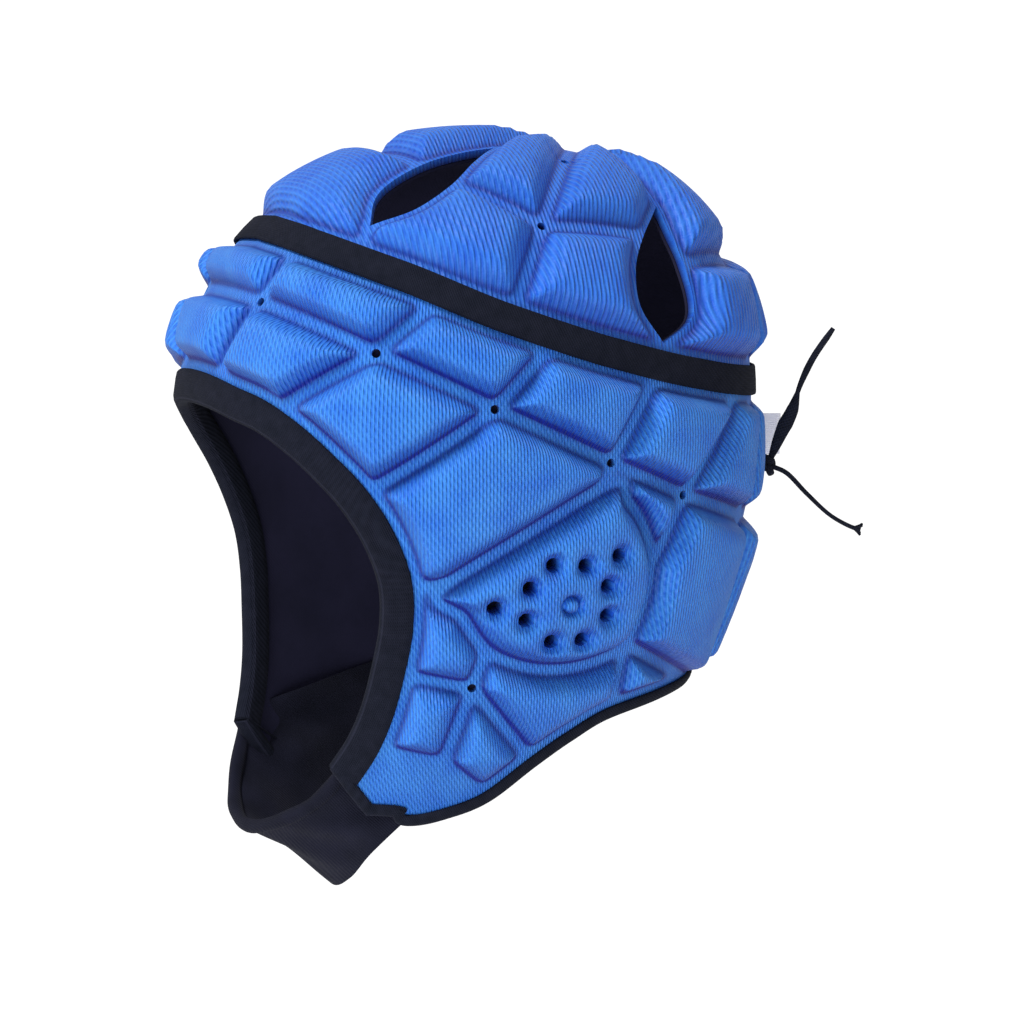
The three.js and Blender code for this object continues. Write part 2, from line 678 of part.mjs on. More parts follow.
// Adds one cell's outer face: the groove floor and, where the cell has one, its pad.
function addOuterFace(sheet, outline, cell, flip) {
  const place = (p) => (flip ? mirrored(p) : p);
  const add = (a, b, c) => (flip ? sheet.add(c, b, a) : sheet.add(a, b, c));
  const chart = chartOf(outline.points);
  const contour = outline.points.map(chart.flatten);
  const rim = outline.points.map((p) => sheet.vertex(place(p), FLOOR));
  if (cell.rise === 0) {
    const centre = sheet.vertex(place(chart.origin), FLOOR);
    rim.forEach((a, i) => add(a, rim[(i + 1) % rim.length], centre));
    return;
  }
  const foot = roundCorners(insetRing(contour, outline.insets), PAD_CORNER);
  const shoulder = insetRing(foot, foot.map(() => PAD_WALL_RUN));
  const rise = PAD_RISE * cell.rise;
  const footRing = foot.map((q) => sheet.vertex(place(chart.place(q)), FLOOR));
  const shoulderRing = shoulder.map((q) => sheet.vertex(place(chart.place(q)), FLOOR + rise));
  const top = sheet.vertex(place(chart.place(heartOf(shoulder))), FLOOR + rise + PAD_DOME);
  const joined = (outer, inner, rings) => {
    for (const corners of zip(outer, inner)) add(...corners.map(([ring, i]) => rings[ring][i]));
  };
  joined(contour, foot, { outer: rim, inner: footRing });
  joined(foot, shoulder, { outer: footRing, inner: shoulderRing });
  shoulderRing.forEach((a, i) => add(a, shoulderRing[(i + 1) % shoulderRing.length], top));
}

function addPlainFace(sheet, outline, height, facingOut, flip) {
  const place = (p) => (flip ? mirrored(p) : p);
  const ring = outline.points.map((p) => sheet.vertex(place(p), height));
  const centre = sheet.vertex(place(chartOf(outline.points).origin), height);
  ring.forEach((a, i) => {
    const b = ring[(i + 1) % ring.length];
    if (facingOut === !flip) sheet.add(a, b, centre);
    else sheet.add(b, a, centre);
  });
}

// A shell has pads outside, a lining is plain on both faces; both close at every free edge.
function sheetOver(cells, seam, low, high, addTop) {
  const sheet = new Sheet();
  const outlines = cells.map((cell) => outlineOf(cell, seam));
  const eachCopy = (cell, work) => (cell.centre ? [false] : [false, true]).forEach(work);
  cells.forEach((cell, i) => eachCopy(cell, (flip) => addTop(sheet, outlines[i], cell, flip)));
  sheet.closeRims([...sheet.triangles], low);
  cells.forEach((cell, i) => eachCopy(cell, (flip) => addPlainFace(sheet, outlines[i], low, false, flip)));
  return sheet.geometry();
}

const buildShell = (cells, seam) => sheetOver(cells, seam, LINING_THICKNESS + GAP, FLOOR, addOuterFace);
const buildLining = (cells, seam) => sheetOver(cells, seam, 0, LINING_THICKNESS,
  (sheet, outline, cell, flip) => addPlainFace(sheet, outline, LINING_THICKNESS, true, flip));

// Solids from meshes, for the cuts
function toSolid(geometry) {
  const bare = geometry.index ? geometry.clone() : geometry;
  bare.deleteAttribute("normal");
  bare.deleteAttribute("uv");
  const merged = mergeVertices(bare, 1e-4);
  return new wasm.Manifold(new wasm.Mesh({
    numProp: 3,
    vertProperties: new Float32Array(merged.attributes.position.array),
    triVerts: new Uint32Array(merged.index.array),
  }));
}

function toGeometry(solid) {
  const mesh = solid.getMesh();
  const geometry = new THREE.BufferGeometry();
  geometry.setAttribute("position", new THREE.BufferAttribute(new Float32Array(mesh.vertProperties), 3));
  geometry.setIndex(new THREE.BufferAttribute(new Uint32Array(mesh.triVerts), 1));
  return geometry;
}

// A tapered pin along the form's normal, from just inside the shell to above the pads.
function holePin(formPoint, topRadius, footRadius, top) {
  const foot = 0;
  const pin = new THREE.CylinderGeometry(topRadius, footRadius, top - foot, HOLE_SIDES);
  const normal = formNormal(formPoint);
  pin.applyQuaternion(new THREE.Quaternion().setFromUnitVectors(new THREE.Vector3(0, 1, 0), normal));
  const middle = formPoint.clone().addScaledVector(normal, (top + foot) / 2);
  pin.translate(middle.x, middle.y, middle.z);
  return pin;
}

function cutHoles(geometry, pins) {
  return toGeometry(pins.reduce((solid, pin) => solid.subtract(toSolid(pin)), toSolid(geometry)));
}

function punchPins(names, seam) {
  const radius = PUNCH_DIAMETER / 2;
  return names.flatMap((name) => [name, `-${name}`])
    .map((label) => holePin(placeOf(label, seam).point, radius, radius, FLOOR + PAD_RISE));
}

function earPins() {
  const radius = EAR_HOLE_DIAMETER / 2;
  return EAR_HOLES.flatMap((hole) => [-1, 1].map((side) => holePin(
    onSide(hole.around * side, hole.level), radius * EAR_HOLE_FLARE, radius / EAR_HOLE_FLARE,
    FLOOR + PAD_RISE + 2 * PAD_DOME)));
}

// Sweeps a closed outline of [inward, height] points along stations on an edge; closed or with end caps.
function sweepOnForm(stations, outline, closed) {
  const count = outline.length;
  const positions = [];
  for (const { edge, outward } of stations) {
    const normal = formNormal(edge);
    for (const [inward, height] of outline) {
      const foot = landOnForm(edge.clone().addScaledVector(outward, -inward), normal);
      positions.push(...lift(foot, height).toArray());
    }
  }
  return loft(positions, stations.length, outline.map(([x, y]) => new THREE.Vector2(x, y)), closed, count);
}

function loft(positions, rings, section, closed, count) {
  const index = [];
  const spans = closed ? rings : rings - 1;
  for (let i = 0; i < spans; i += 1) {
    for (let j = 0; j < count; j += 1) {
      const a = i * count + j;
      const b = i * count + ((j + 1) % count);
      const c = ((i + 1) % rings) * count + ((j + 1) % count);
      const d = ((i + 1) % rings) * count + j;
      index.push(a, b, c, a, c, d);
    }
  }
  if (!closed) {
    const last = (rings - 1) * count;
    for (const [i, j, k] of THREE.ShapeUtils.triangulateShape(section, [])) {
      const turn = section[j].clone().sub(section[i]).cross(section[k].clone().sub(section[i]));
      const [p, q] = turn > 0 ? [j, k] : [k, j];
      index.push(i, q, p, last + i, last + p, last + q);
    }
  }
  const geometry = new THREE.BufferGeometry();
  geometry.setAttribute("position", new THREE.Float32BufferAttribute(positions, 3));
  geometry.setIndex(signedVolume(positions, index) < 0 ? turnedOver(index) : index);
  return geometry;
}

function signedVolume(positions, index) {
  const corner = (i) => new THREE.Vector3().fromArray(positions, index[i] * 3);
  let volume = 0;
  for (let i = 0; i < index.length; i += 3) volume += corner(i).dot(corner(i + 1).cross(corner(i + 2)));
  return volume;
}

function turnedOver(index) {
  const turned = [];
  for (let i = 0; i < index.length; i += 3) turned.push(index[i], index[i + 2], index[i + 1]);
  return turned;
}

// A folded tape over the edge: a leaf on the outside that ends in a roll around the edge.
function bindingSection(width, roll) {
  const under = FLOOR + GAP;
  const over = under + BINDING_THICKNESS;
  const low = -BINDING_THICKNESS;
  const outer = -GAP - roll;
  return [[width - roll, under], [width - roll, over], [-GAP, over + BINDING_CROWN],
    [outer, over - roll / 2], [outer, low + roll / 2], [-GAP, low], [-GAP, under]];
}

function edgeStations(line, margin, first, last) {
  return stopsAlong(line, first, last).map((t) => edgeOnLine(line, margin, t));
}

function bandStations() {
  return Array.from({ length: BAND_STATIONS }, (_, i) => {
    const around = (i * 360) / BAND_STATIONS;
    const at = (turn) => onSide(turn, bandLevel(turn));
    const edge = at(around);
    const along = at(around + BAND_PROBE).sub(at(around - BAND_PROBE)).normalize();
    return { edge, outward: new THREE.Vector3().crossVectors(along, formNormal(edge)).normalize() };
  });
}

function buildBand() {
  const half = BAND_WIDTH / 2;
  const under = FLOOR + 2 * GAP;
  const over = under + BAND_THICKNESS;
  return sweepOnForm(bandStations(), [[-half, under], [half, under], [half, over], [-half, over]], true);
}

// The strap's two edges, mirrored: shares of the half head width, half head length and cap height.
function strapEdge(name, share) {
  const at = (row, side) => new THREE.Vector3((row[`${name}_out`] * side * HEAD_WIDTH) / 2,
    (row[`${name}_y`] * HEAD_LENGTH) / 2, -row[`${name}_level`] * CAP_HEIGHT);
  const left = STRAP_LINE.slice(0, -1).map((row) => at(row, 1));
  const right = STRAP_LINE.slice(0, -1).map((row) => at(row, -1)).reverse();
  const middle = at(STRAP_LINE.at(-1), 1);
  return new THREE.CatmullRomCurve3([...left, middle, ...right], false, "centripetal").getPoint(share);
}

function buildStrap() {
  const positions = [];
  for (let i = 0; i <= STRAP_STATIONS; i += 1) {
    const share = i / STRAP_STATIONS;
    const front = strapEdge("front", share);
    const rear = strapEdge("rear", share);
    const ahead = strapEdge("front", Math.min(share + STRAP_PROBE, 1));
    const behind = strapEdge("front", Math.max(share - STRAP_PROBE, 0));
    const across = rear.clone().sub(front).normalize();
    const outward = ahead.sub(behind).normalize().cross(across).normalize();
    const half = STRAP_THICKNESS / 2;
    const middle = front.clone().lerp(rear, 0.5).addScaledVector(outward, -STRAP_BOW);
    const inner = [front, middle, rear].map((base) => [base, -half]);
    const outer = [rear, middle, front].map((base) => [base, half]);
    for (const [base, height] of [...inner, ...outer]) {
      positions.push(...base.clone().addScaledVector(outward, height).toArray());
    }
  }
  const section = [[0, 0], [1, 0], [2, 0], [2, 1], [1, 1], [0, 1]].map(([x, y]) => new THREE.Vector2(x, y));
  return loft(positions, STRAP_STATIONS + 1, section, false, 6);
}

function roundSection(sides, halfWidth, halfHeight) {
  return Array.from({ length: sides }, (_, i) => {
    const turn = (i * 2 * Math.PI) / sides;
    return new THREE.Vector2(halfWidth * Math.cos(turn), halfHeight * Math.sin(turn));
  });
}

// A rolled hem along the strap's front edge.
function buildStrapRoll() {
  const radius = STRAP_ROLL_DIAMETER / 2;
  const positions = [];
  const section = roundSection(ROLL_SIDES, radius, radius);
  for (let i = 0; i <= STRAP_STATIONS; i += 1) {
    const share = THREE.MathUtils.lerp(STRAP_ROLL_START, 1 - STRAP_ROLL_START, i / STRAP_STATIONS);
    const front = strapEdge("front", share);
    const rear = strapEdge("rear", share);
    const ahead = strapEdge("front", share + STRAP_PROBE);
    const across = rear.clone().sub(front).normalize();
    const outward = ahead.sub(front).normalize().cross(across).normalize();
    const centre = front.clone().addScaledVector(across, -radius - GAP);
    for (const q of section) {
      const p = centre.clone().addScaledVector(across, q.x).addScaledVector(outward, q.y);
      positions.push(...p.toArray());
    }
  }
  return loft(positions, STRAP_STATIONS + 1, section, false, ROLL_SIDES);
}

// Laces
function laceTube(points) {
  const section = new THREE.Shape(roundSection(LACE_SIDES, LACE_THICKNESS / 2, LACE_WIDTH / 2));
  const path = new THREE.CatmullRomCurve3(points);
  const steps = Math.ceil(path.getLength() / LACE_STEP);
  return new THREE.ExtrudeGeometry(section, { steps, extrudePath: path, bevelEnabled: false });
}

function laceRung(level) {
  const height = FLOOR + 2 * GAP + BINDING_THICKNESS + LACE_THICKNESS / 2 + RUNG_SLACK;
  const shares = [-1, -0.5, 0, 0.5, 1];
  const points = shares.map((share) => lift(onSide(180 - share * RUNG_HALF_TURN, level), height));
  const positions = [];
  const section = [[-1, -1], [1, -1], [1, 1], [-1, 1]].map(([x, y]) => new THREE.Vector2(x, y));
  for (const p of points) {
    for (const q of section) {
      positions.push(p.x, p.y + (q.x * LACE_THICKNESS) / 2, p.z + (q.y * LACE_WIDTH) / 2);
    }
  }
  return loft(positions, points.length, section, false, 4);
}

// The knot lies on the outer face of the upper nape pad on the wearer's left.
function knotCentre() {
  const half = (KNOT_DIAMETER * KNOT_FLATNESS) / 2;
  return lift(onSide(KNOT_AROUND, KNOT_LEVEL), FLOOR + PAD_RISE + half + KNOT_SEAT);
}

function buildKnot() {
  const knot = new THREE.SphereGeometry(KNOT_DIAMETER / 2, KNOT_SIDES, KNOT_RINGS);
  knot.scale(KNOT_FLATNESS, KNOT_FLATNESS, 1);
  knot.translate(...knotCentre().toArray());
  return toGeometry(toSolid(knot));
}

function buildLabel() {
  const label = new THREE.BoxGeometry(LABEL_THICKNESS, LABEL_LENGTH, LABEL_HEIGHT);
  label.translate(0, LABEL_LENGTH / 2, 0);
  label.rotateZ(-LABEL_LEAN * DEGREE);
  const root = lift(onSide(LABEL_AROUND, LABEL_LEVEL), FLOOR + 2 * GAP + BINDING_THICKNESS + LABEL_SEAT);
  label.translate(root.x, root.y, root.z);
  return label;
}

const group = new THREE.Group();

function addMesh(name, geometry, material) {
  const mesh = new THREE.Mesh(geometry, material);
  mesh.name = name;
  group.add(mesh);
}

const crownPins = [...punchPins(PUNCHED_CROWN, "seam_above"),
  holePin(onCrown(0, 0), PUNCH_DIAMETER / 2, PUNCH_DIAMETER / 2, FLOOR + PAD_RISE)];
const sidePins = [...punchPins(PUNCHED_SIDE, "seam_below"), ...earPins()];
addMesh("crown_shell", cutHoles(buildShell(CROWN_CELLS, "seam_above"), crownPins), MATERIALS.mesh_blue);
addMesh("side_shell", cutHoles(buildShell(SIDE_CELLS, "seam_below"), sidePins), MATERIALS.mesh_blue);
addMesh("crown_lining", buildLining(CROWN_CELLS, "seam_above"), MATERIALS.lining);
addMesh("side_lining", buildLining(SIDE_CELLS, "seam_below"), MATERIALS.lining);
addMesh("band", buildBand(), MATERIALS.navy);
addMesh("face_binding", sweepOnForm(edgeStations(FACE_LINE, FACE_MARGIN, -FACE_LAST, FACE_LAST),
  bindingSection(FACE_BINDING_WIDTH, FACE_BINDING_ROLL), false), MATERIALS.navy);

for (const [name, side] of [["left", 1], ["right", -1]]) {
  const stations = edgeStations(HEM_LINE, HEM_MARGIN, 0, HEM_LAST - HEM_STOP_SHARE);
  const hem = sweepOnForm(stations, bindingSection(HEM_BINDING_WIDTH, HEM_BINDING_ROLL), false);
  if (side < 0) {
    hem.scale(-1, 1, 1);
    hem.setIndex(turnedOver([...hem.index.array]));
  }
  addMesh(`hem_binding_${name}`, hem, MATERIALS.navy);
}

addMesh("chin_strap", buildStrap(), MATERIALS.navy);
addMesh("chin_strap_roll", buildStrapRoll(), MATERIALS.navy);
LACE_RUNG_LEVELS.forEach((level, i) => addMesh(`lace_rung_${i + 1}`, laceRung(level), MATERIALS.lace));
addMesh("lace_knot", buildKnot(), MATERIALS.lace);
const fromKnot = (steps) => steps.map((step) => new THREE.Vector3(...step).add(knotCentre()));
addMesh("lace_end_up", laceTube(fromKnot(LACE_UP)), MATERIALS.lace);
addMesh("lace_end_down", laceTube(fromKnot(LACE_DOWN)), MATERIALS.lace);
addMesh("label", buildLabel(), MATERIALS.label);

export default group;
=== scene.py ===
import functools
import math
import bmesh
import bpy
import numpy as np
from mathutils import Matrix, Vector
from mathutils.geometry import delaunay_2d_cdt


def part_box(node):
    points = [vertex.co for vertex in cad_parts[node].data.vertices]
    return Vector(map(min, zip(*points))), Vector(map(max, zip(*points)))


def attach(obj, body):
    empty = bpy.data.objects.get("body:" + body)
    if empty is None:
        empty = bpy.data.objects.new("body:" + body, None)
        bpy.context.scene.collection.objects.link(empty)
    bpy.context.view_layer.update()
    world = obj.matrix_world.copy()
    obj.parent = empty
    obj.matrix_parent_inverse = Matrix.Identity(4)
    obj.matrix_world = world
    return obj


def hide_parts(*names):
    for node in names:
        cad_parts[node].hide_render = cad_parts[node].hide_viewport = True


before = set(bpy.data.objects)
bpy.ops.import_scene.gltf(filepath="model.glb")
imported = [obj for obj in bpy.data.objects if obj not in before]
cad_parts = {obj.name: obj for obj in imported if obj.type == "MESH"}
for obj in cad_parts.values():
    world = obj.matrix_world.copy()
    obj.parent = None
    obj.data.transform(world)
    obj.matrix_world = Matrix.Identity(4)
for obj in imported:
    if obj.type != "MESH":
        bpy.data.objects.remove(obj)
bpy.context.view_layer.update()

# Camera
# It stands at the wearer's left, a little from the front and above. Its aim and scale are those of the
# photograph, as the band, the vents and the ear pad show them.
CAMERA_AZIMUTH, CAMERA_ELEVATION = math.radians(66), math.radians(7)
CAMERA_DISTANCE = 1.5
PIXELS_PER_METRE = 2830
AIM = Vector((0, 0, -0.095))
AIM_PIXEL = (465, 425)
FRAME_PIXELS = 1024

camera = bpy.data.objects.new("camera", bpy.data.cameras.new("camera"))
bpy.context.scene.collection.objects.link(camera)
bpy.context.scene.camera = camera
camera_back = Vector((math.sin(CAMERA_AZIMUTH) * math.cos(CAMERA_ELEVATION),
                      -math.cos(CAMERA_AZIMUTH) * math.cos(CAMERA_ELEVATION), math.sin(CAMERA_ELEVATION)))
camera.location = AIM + camera_back * CAMERA_DISTANCE
camera.rotation_euler = (-camera_back).to_track_quat("-Z", "Y").to_euler()
camera.data.lens = PIXELS_PER_METRE * CAMERA_DISTANCE / FRAME_PIXELS * camera.data.sensor_width
camera.data.shift_x = (FRAME_PIXELS / 2 - AIM_PIXEL[0]) / FRAME_PIXELS
camera.data.shift_y = (AIM_PIXEL[1] - FRAME_PIXELS / 2) / FRAME_PIXELS
NEAREST, FURTHEST = 0.1, 50
camera.data.clip_start, camera.data.clip_end = NEAREST, FURTHEST

# Knot and the lace's two free ends
# The real lace is a flat woven tape, tied in a small hard knot on the nape pad. Its ends stand off stiffly:
# one rises, wide near the knot and then twisted edge on, the other droops to a frayed tip.
MM = 0.001
TURN = 2 * math.pi
LACE_UP = [(1.2, 3, 3), (3, 7.1, 14), (4.5, 10.1, 21), (5.5, 12.5, 29.6), (7.4, 16.5, 39.4),
           (10.3, 23.3, 50.5)]
LACE_DOWN = [(2.4, 3.1, 1), (4, 8.1, -1.4), (6.7, 15.1, -9), (10.2, 23.1, -17), (13.4, 30.3, -21.3),
             (14.6, 32.9, -22)]
LACE_UP_WIDTHS = [(0, 1.8), (0.12, 3.8), (0.27, 5.4), (0.38, 4.4), (0.5, 1.7), (0.66, 2.5), (0.92, 2.3),
                  (1, 1.7)]
LACE_DOWN_WIDTHS = [(0, 1.8), (0.3, 1.7), (0.7, 1.5), (0.97, 1.6), (1, 1.8)]
LACE_THICKNESS = 1.4
LACE_SIDES, LACE_RINGS = 16, 90
SPAN_SAMPLES = 41
ROUNDED_EDGE = 0.8


def smooth_line(points, count, even=True):
    """Points along a centripetal Catmull-Rom curve, evenly spaced or with as many between each two rows."""
    p = np.array(points, float)
    p = np.vstack([2 * p[0] - p[1], p, 2 * p[-1] - p[-2]])
    line = []
    for i in range(1, len(p) - 2):
        d0, d1, d2 = (max(np.linalg.norm(p[i + k] - p[i + k - 1]), 1e-6) ** 0.5 for k in (0, 1, 2))
        start = ((p[i] - p[i - 1]) / d0 - (p[i + 1] - p[i - 1]) / (d0 + d1) + (p[i + 1] - p[i]) / d1) * d1
        end = ((p[i + 1] - p[i]) / d1 - (p[i + 2] - p[i]) / (d1 + d2) + (p[i + 2] - p[i + 1]) / d2) * d1
        t = np.linspace(0, 1, SPAN_SAMPLES if even else (count - 1) // (len(p) - 3) + 1)[:, None]
        line.append((p[i] + start * t + (3 * (p[i + 1] - p[i]) - 2 * start - end) * t**2
                     + (2 * (p[i] - p[i + 1]) + start + end) * t**3)[:-1])
    line = np.vstack([*line, p[-2:-1]])
    if not even:
        return line
    run = np.concatenate([[0], np.cumsum(np.linalg.norm(np.diff(line, axis=0), axis=1))])
    at = np.linspace(0, run[-1], count)
    return np.stack([np.interp(at, run, line[:, k]) for k in range(3)], 1)


def unit(v):
    """Vectors scaled to length one."""
    return v / np.linalg.norm(v, axis=-1, keepdims=True)


def mesh_piece(name, points, faces, values=None, sharp_angle=50, replaces=(), face_out=False):
    """A smooth-shaded mesh from points in millimetres, with named values for its material at each point."""
    mesh = bpy.data.meshes.new(name)
    mesh.from_pydata(np.asarray(points, float) * MM, [], [tuple(map(int, f)) for f in faces])
    if face_out:
        bm = bmesh.new()
        bm.from_mesh(mesh)
        bmesh.ops.recalc_face_normals(bm, faces=bm.faces)
        bm.to_mesh(mesh)
        bm.free()
    for key, value in (values or {}).items():
        value = np.asarray(value, np.float32)
        kind, field = ("FLOAT", "value") if value.ndim == 1 else ("FLOAT_VECTOR", "vector")
        mesh.attributes.new(key, kind, "POINT").data.foreach_set(field, value.ravel())
    mesh.shade_smooth()
    mesh.set_sharp_from_angle(angle=math.radians(sharp_angle))
    piece = bpy.data.objects.new(name, mesh)
    bpy.context.scene.collection.objects.link(piece)
    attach(piece, "root")
    if replaces:
        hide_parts(*replaces)
    return piece


def ring_faces(rings, sides, closed=False):
    """Faces between rings of points that follow each other; open ones get end caps."""
    faces = []
    for i in range(rings if closed else rings - 1):
        below, above = i * sides, (i + 1) % rings * sides
        for j in range(sides):
            k = (j + 1) % sides
            faces.append((below + j, below + k, above + k, above + j))
    if not closed:
        faces.append(tuple(range(sides - 1, -1, -1)))
        faces.append(tuple(range((rings - 1) * sides, rings * sides)))
    return faces


def flat_tube(line, widths, thickness, broad, sides=LACE_SIDES, closed=False):
    """Points and faces of a flat lace along a line; broad is the way that its width points at each place."""
    ahead = unit(np.gradient(line, axis=0))
    if closed:
        ahead = unit(np.roll(line, -1, axis=0) - np.roll(line, 1, axis=0))
    broad = unit(broad - ahead * (broad * ahead).sum(-1, keepdims=True))
    thin = np.cross(ahead, broad)
    turn = np.linspace(0, TURN, sides, endpoint=False)
    out = np.sign(np.cos(turn)) * np.abs(np.cos(turn)) ** ROUNDED_EDGE
    up = np.sign(np.sin(turn)) * np.abs(np.sin(turn)) ** ROUNDED_EDGE
    w, h = np.broadcast_to(widths, len(line)), np.broadcast_to(thickness, len(line))
    points = (line[:, None] + broad[:, None] * (w[:, None] / 2 * out)[..., None]
              + thin[:, None] * (h[:, None] / 2 * up)[..., None])
    around = np.broadcast_to(turn / TURN, (len(line), sides))
    return points.reshape(-1, 3), ring_faces(len(line), sides, closed), around.ravel()


def joined(tubes):
    """Several tubes as the points, faces and around values of one mesh."""
    points, faces, around = [], [], []
    for tube_points, tube_faces, tube_around in tubes:
        first = sum(map(len, points))
        points.append(tube_points)
        faces += [tuple(i + first for i in face) for face in tube_faces]
        around.append(tube_around)
    return np.vstack(points), faces, np.concatenate(around)


class Wire:
    """A socket in a material's node tree. Arithmetic on it adds Math nodes."""

    def __init__(self, tree, socket=None):
        self.tree, self.socket = tree, socket

    def node(self, kind, settings=None, inputs=None, output=0):
        made = self.tree.nodes.new("ShaderNode" + kind)
        for key, value in (settings or {}).items():
            setattr(made, key, value)
        for key, value in (inputs or {}).items():
            if isinstance(value, Wire):
                self.tree.links.new(value.socket, made.inputs[key])
            else:
                made.inputs[key].default_value = value
        return Wire(self.tree, made.outputs[output])

    def maths(self, operation, *values, clamp=False):
        return self.node("Math", {"operation": operation, "use_clamp": clamp}, dict(enumerate(values)))

    def __add__(self, other):
        return self.maths("ADD", self, other)

    def __radd__(self, other):
        return self.maths("ADD", other, self)

    def __sub__(self, other):
        return self.maths("SUBTRACT", self, other)

    def __rsub__(self, other):
        return self.maths("SUBTRACT", other, self)

    def __mul__(self, other):
        return self.maths("MULTIPLY", self, other)

    def __rmul__(self, other):
        return self.maths("MULTIPLY", other, self)

    def __truediv__(self, other):
        return self.maths("DIVIDE", self, other)

    def __rtruediv__(self, other):
        return self.maths("DIVIDE", other, self)

    def sine(self):
        return self.maths("SINE", self)

    def clamped(self):
        return self.maths("ADD", self, 0.0, clamp=True)

    def value(self, name):
        """A number kept at each point of the piece."""
        return self.node("Attribute", {"attribute_name": name}, output=2)

    def vector(self, name):
        return self.node("Attribute", {"attribute_name": name}, output=1)

    def axis(self, index):
        """One part of a vector."""
        return self.node("SeparateXYZ", inputs={0: self}, output=index)

    def place(self):
        """Where a point of the piece is, in metres."""
        return self.node("TexCoord", output=3)

    def noise(self, place, scale, detail=2.0):
        return self.node("TexNoise", inputs={"Vector": place, "Scale": scale, "Detail": detail})

    def mix(self, share, low, high):
        """A colour from low to high."""
        return self.node("Mix", {"data_type": "RGBA"}, {0: share, 6: low, 7: high}, output=2)


def colour(red, green, blue):
    """A linear colour from the 0 to 255 values seen on a screen."""
    def linear(v):
        v = v / 255
        return v / 12.92 if v <= 0.04045 else ((v + 0.055) / 1.055) ** 2.4
    return (linear(red), linear(green), linear(blue), 1.0)


def cloth_material(name, paint, roughness, sheen, bump_distance, shine=0.08):
    """Cloth: paint gives a base colour and the height of the weave from a Wire."""
    material = bpy.data.materials.new(name)
    material.use_nodes = True
    tree = material.node_tree
    shader = tree.nodes["Principled BSDF"]
    wire = Wire(tree)
    base, height = paint(wire)
    bump = wire.node("Bump", inputs={"Strength": 1.0, "Distance": bump_distance * MM, "Height": height})
    tree.links.new(base.socket, shader.inputs["Base Color"])
    tree.links.new(bump.socket, shader.inputs["Normal"])
    shader.inputs["Roughness"].default_value = roughness
    shader.inputs["Specular IOR Level"].default_value = shine
    shader.inputs["Sheen Weight"].default_value = sheen
    shader.inputs["Sheen Roughness"].default_value = 0.5
    return material


CLOTH_WEAVE = 5200
LACE_THREADS, LACE_TWIST = 12, 6


def lace_paint(wire):
    """Near-black woven lace: threads across its round, slanting along it."""
    place = wire.place()
    around = wire.value("around")
    slant = (place.axis(2) * CLOTH_WEAVE + around * (LACE_TWIST * TURN)).sine()
    weave = (around * (LACE_THREADS * TURN)).sine() * slant
    shade = (wire.noise(place, 400.0) * 0.7 + weave * 0.2).clamped()
    return wire.mix(shade, colour(10, 13, 22), colour(44, 48, 66)), weave


lace_cloth = cloth_material("lace_cloth", lace_paint, 0.75, 0.03, 0.15)
knot_low, knot_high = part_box("lace_knot")
KNOT_SETTLED = np.array([-1.6, -4.2, 0])
knot_centre = np.array((knot_low + knot_high) / 2) / MM + KNOT_SETTLED


def lace_end(name, steps, widths, start_way, end_way):
    """A free end of the lace, with its flat turning from one way to another."""
    line = smooth_line(np.array(steps) + knot_centre, LACE_RINGS)
    share = np.linspace(0, 1, LACE_RINGS)
    at, wide = np.array(widths).T
    turned = (share[:, None] * 1.6).clip(0, 1)
    broad = unit(np.array(start_way) * (1 - turned) + np.array(end_way) * turned)
    points, faces, around = flat_tube(line, np.interp(share, at, wide), LACE_THICKNESS, broad)
    piece = mesh_piece(name + "_tape", points, faces, {"around": around}, replaces=[name])
    piece.data.materials.append(lace_cloth)
    return piece, line


lace_up, up_line = lace_end("lace_end_up", LACE_UP, LACE_UP_WIDTHS, (0.4, 0.9, 0.0), (0.45, 0.85, -0.3))
lace_down, down_line = lace_end("lace_end_down", LACE_DOWN, LACE_DOWN_WIDTHS, (0.0, 0.3, 1), (0.2, 0.2, 1))

# The knot is three turns of the lace drawn tight round each other.
KNOT_SIDES, KNOT_RINGS, KNOT_FLATNESS = 12, 28, 0.8
KNOT_TURNS = [
    {"shift": (0, 0, 0.4), "axis": (1, 0.2, 0.3), "radius": 2.0, "thick": 2.7},
    {"shift": (0.2, 0.3, -1.6), "axis": (0.5, 1, 0.5), "radius": 1.6, "thick": 2.7},
    {"shift": (-0.1, 0.2, 1.7), "axis": (0.3, 0.4, 1), "radius": 1.5, "thick": 2.5}]
KNOT_BEHIND_PAD = np.array([1.0, 2.35, 1.55])
tubes = []
for row in KNOT_TURNS:
    pole = unit(np.array(row["axis"], float))
    first = unit(np.cross(pole, (0.1, 0.2, 1.0)))
    second = np.cross(pole, first)
    turn = np.linspace(0, TURN, KNOT_RINGS, endpoint=False)[:, None]
    line = (knot_centre + KNOT_BEHIND_PAD + row["shift"]
            + row["radius"] * (first * np.cos(turn) + second * np.sin(turn)))
    tubes.append(flat_tube(line, row["thick"], row["thick"] * KNOT_FLATNESS,
                           np.broadcast_to(pole, line.shape), KNOT_SIDES, True))
points, faces, around = joined(tubes)
knot = mesh_piece("lace_knot_turns", points, faces, {"around": around}, replaces=["lace_knot"])
knot.data.materials.append(lace_cloth)

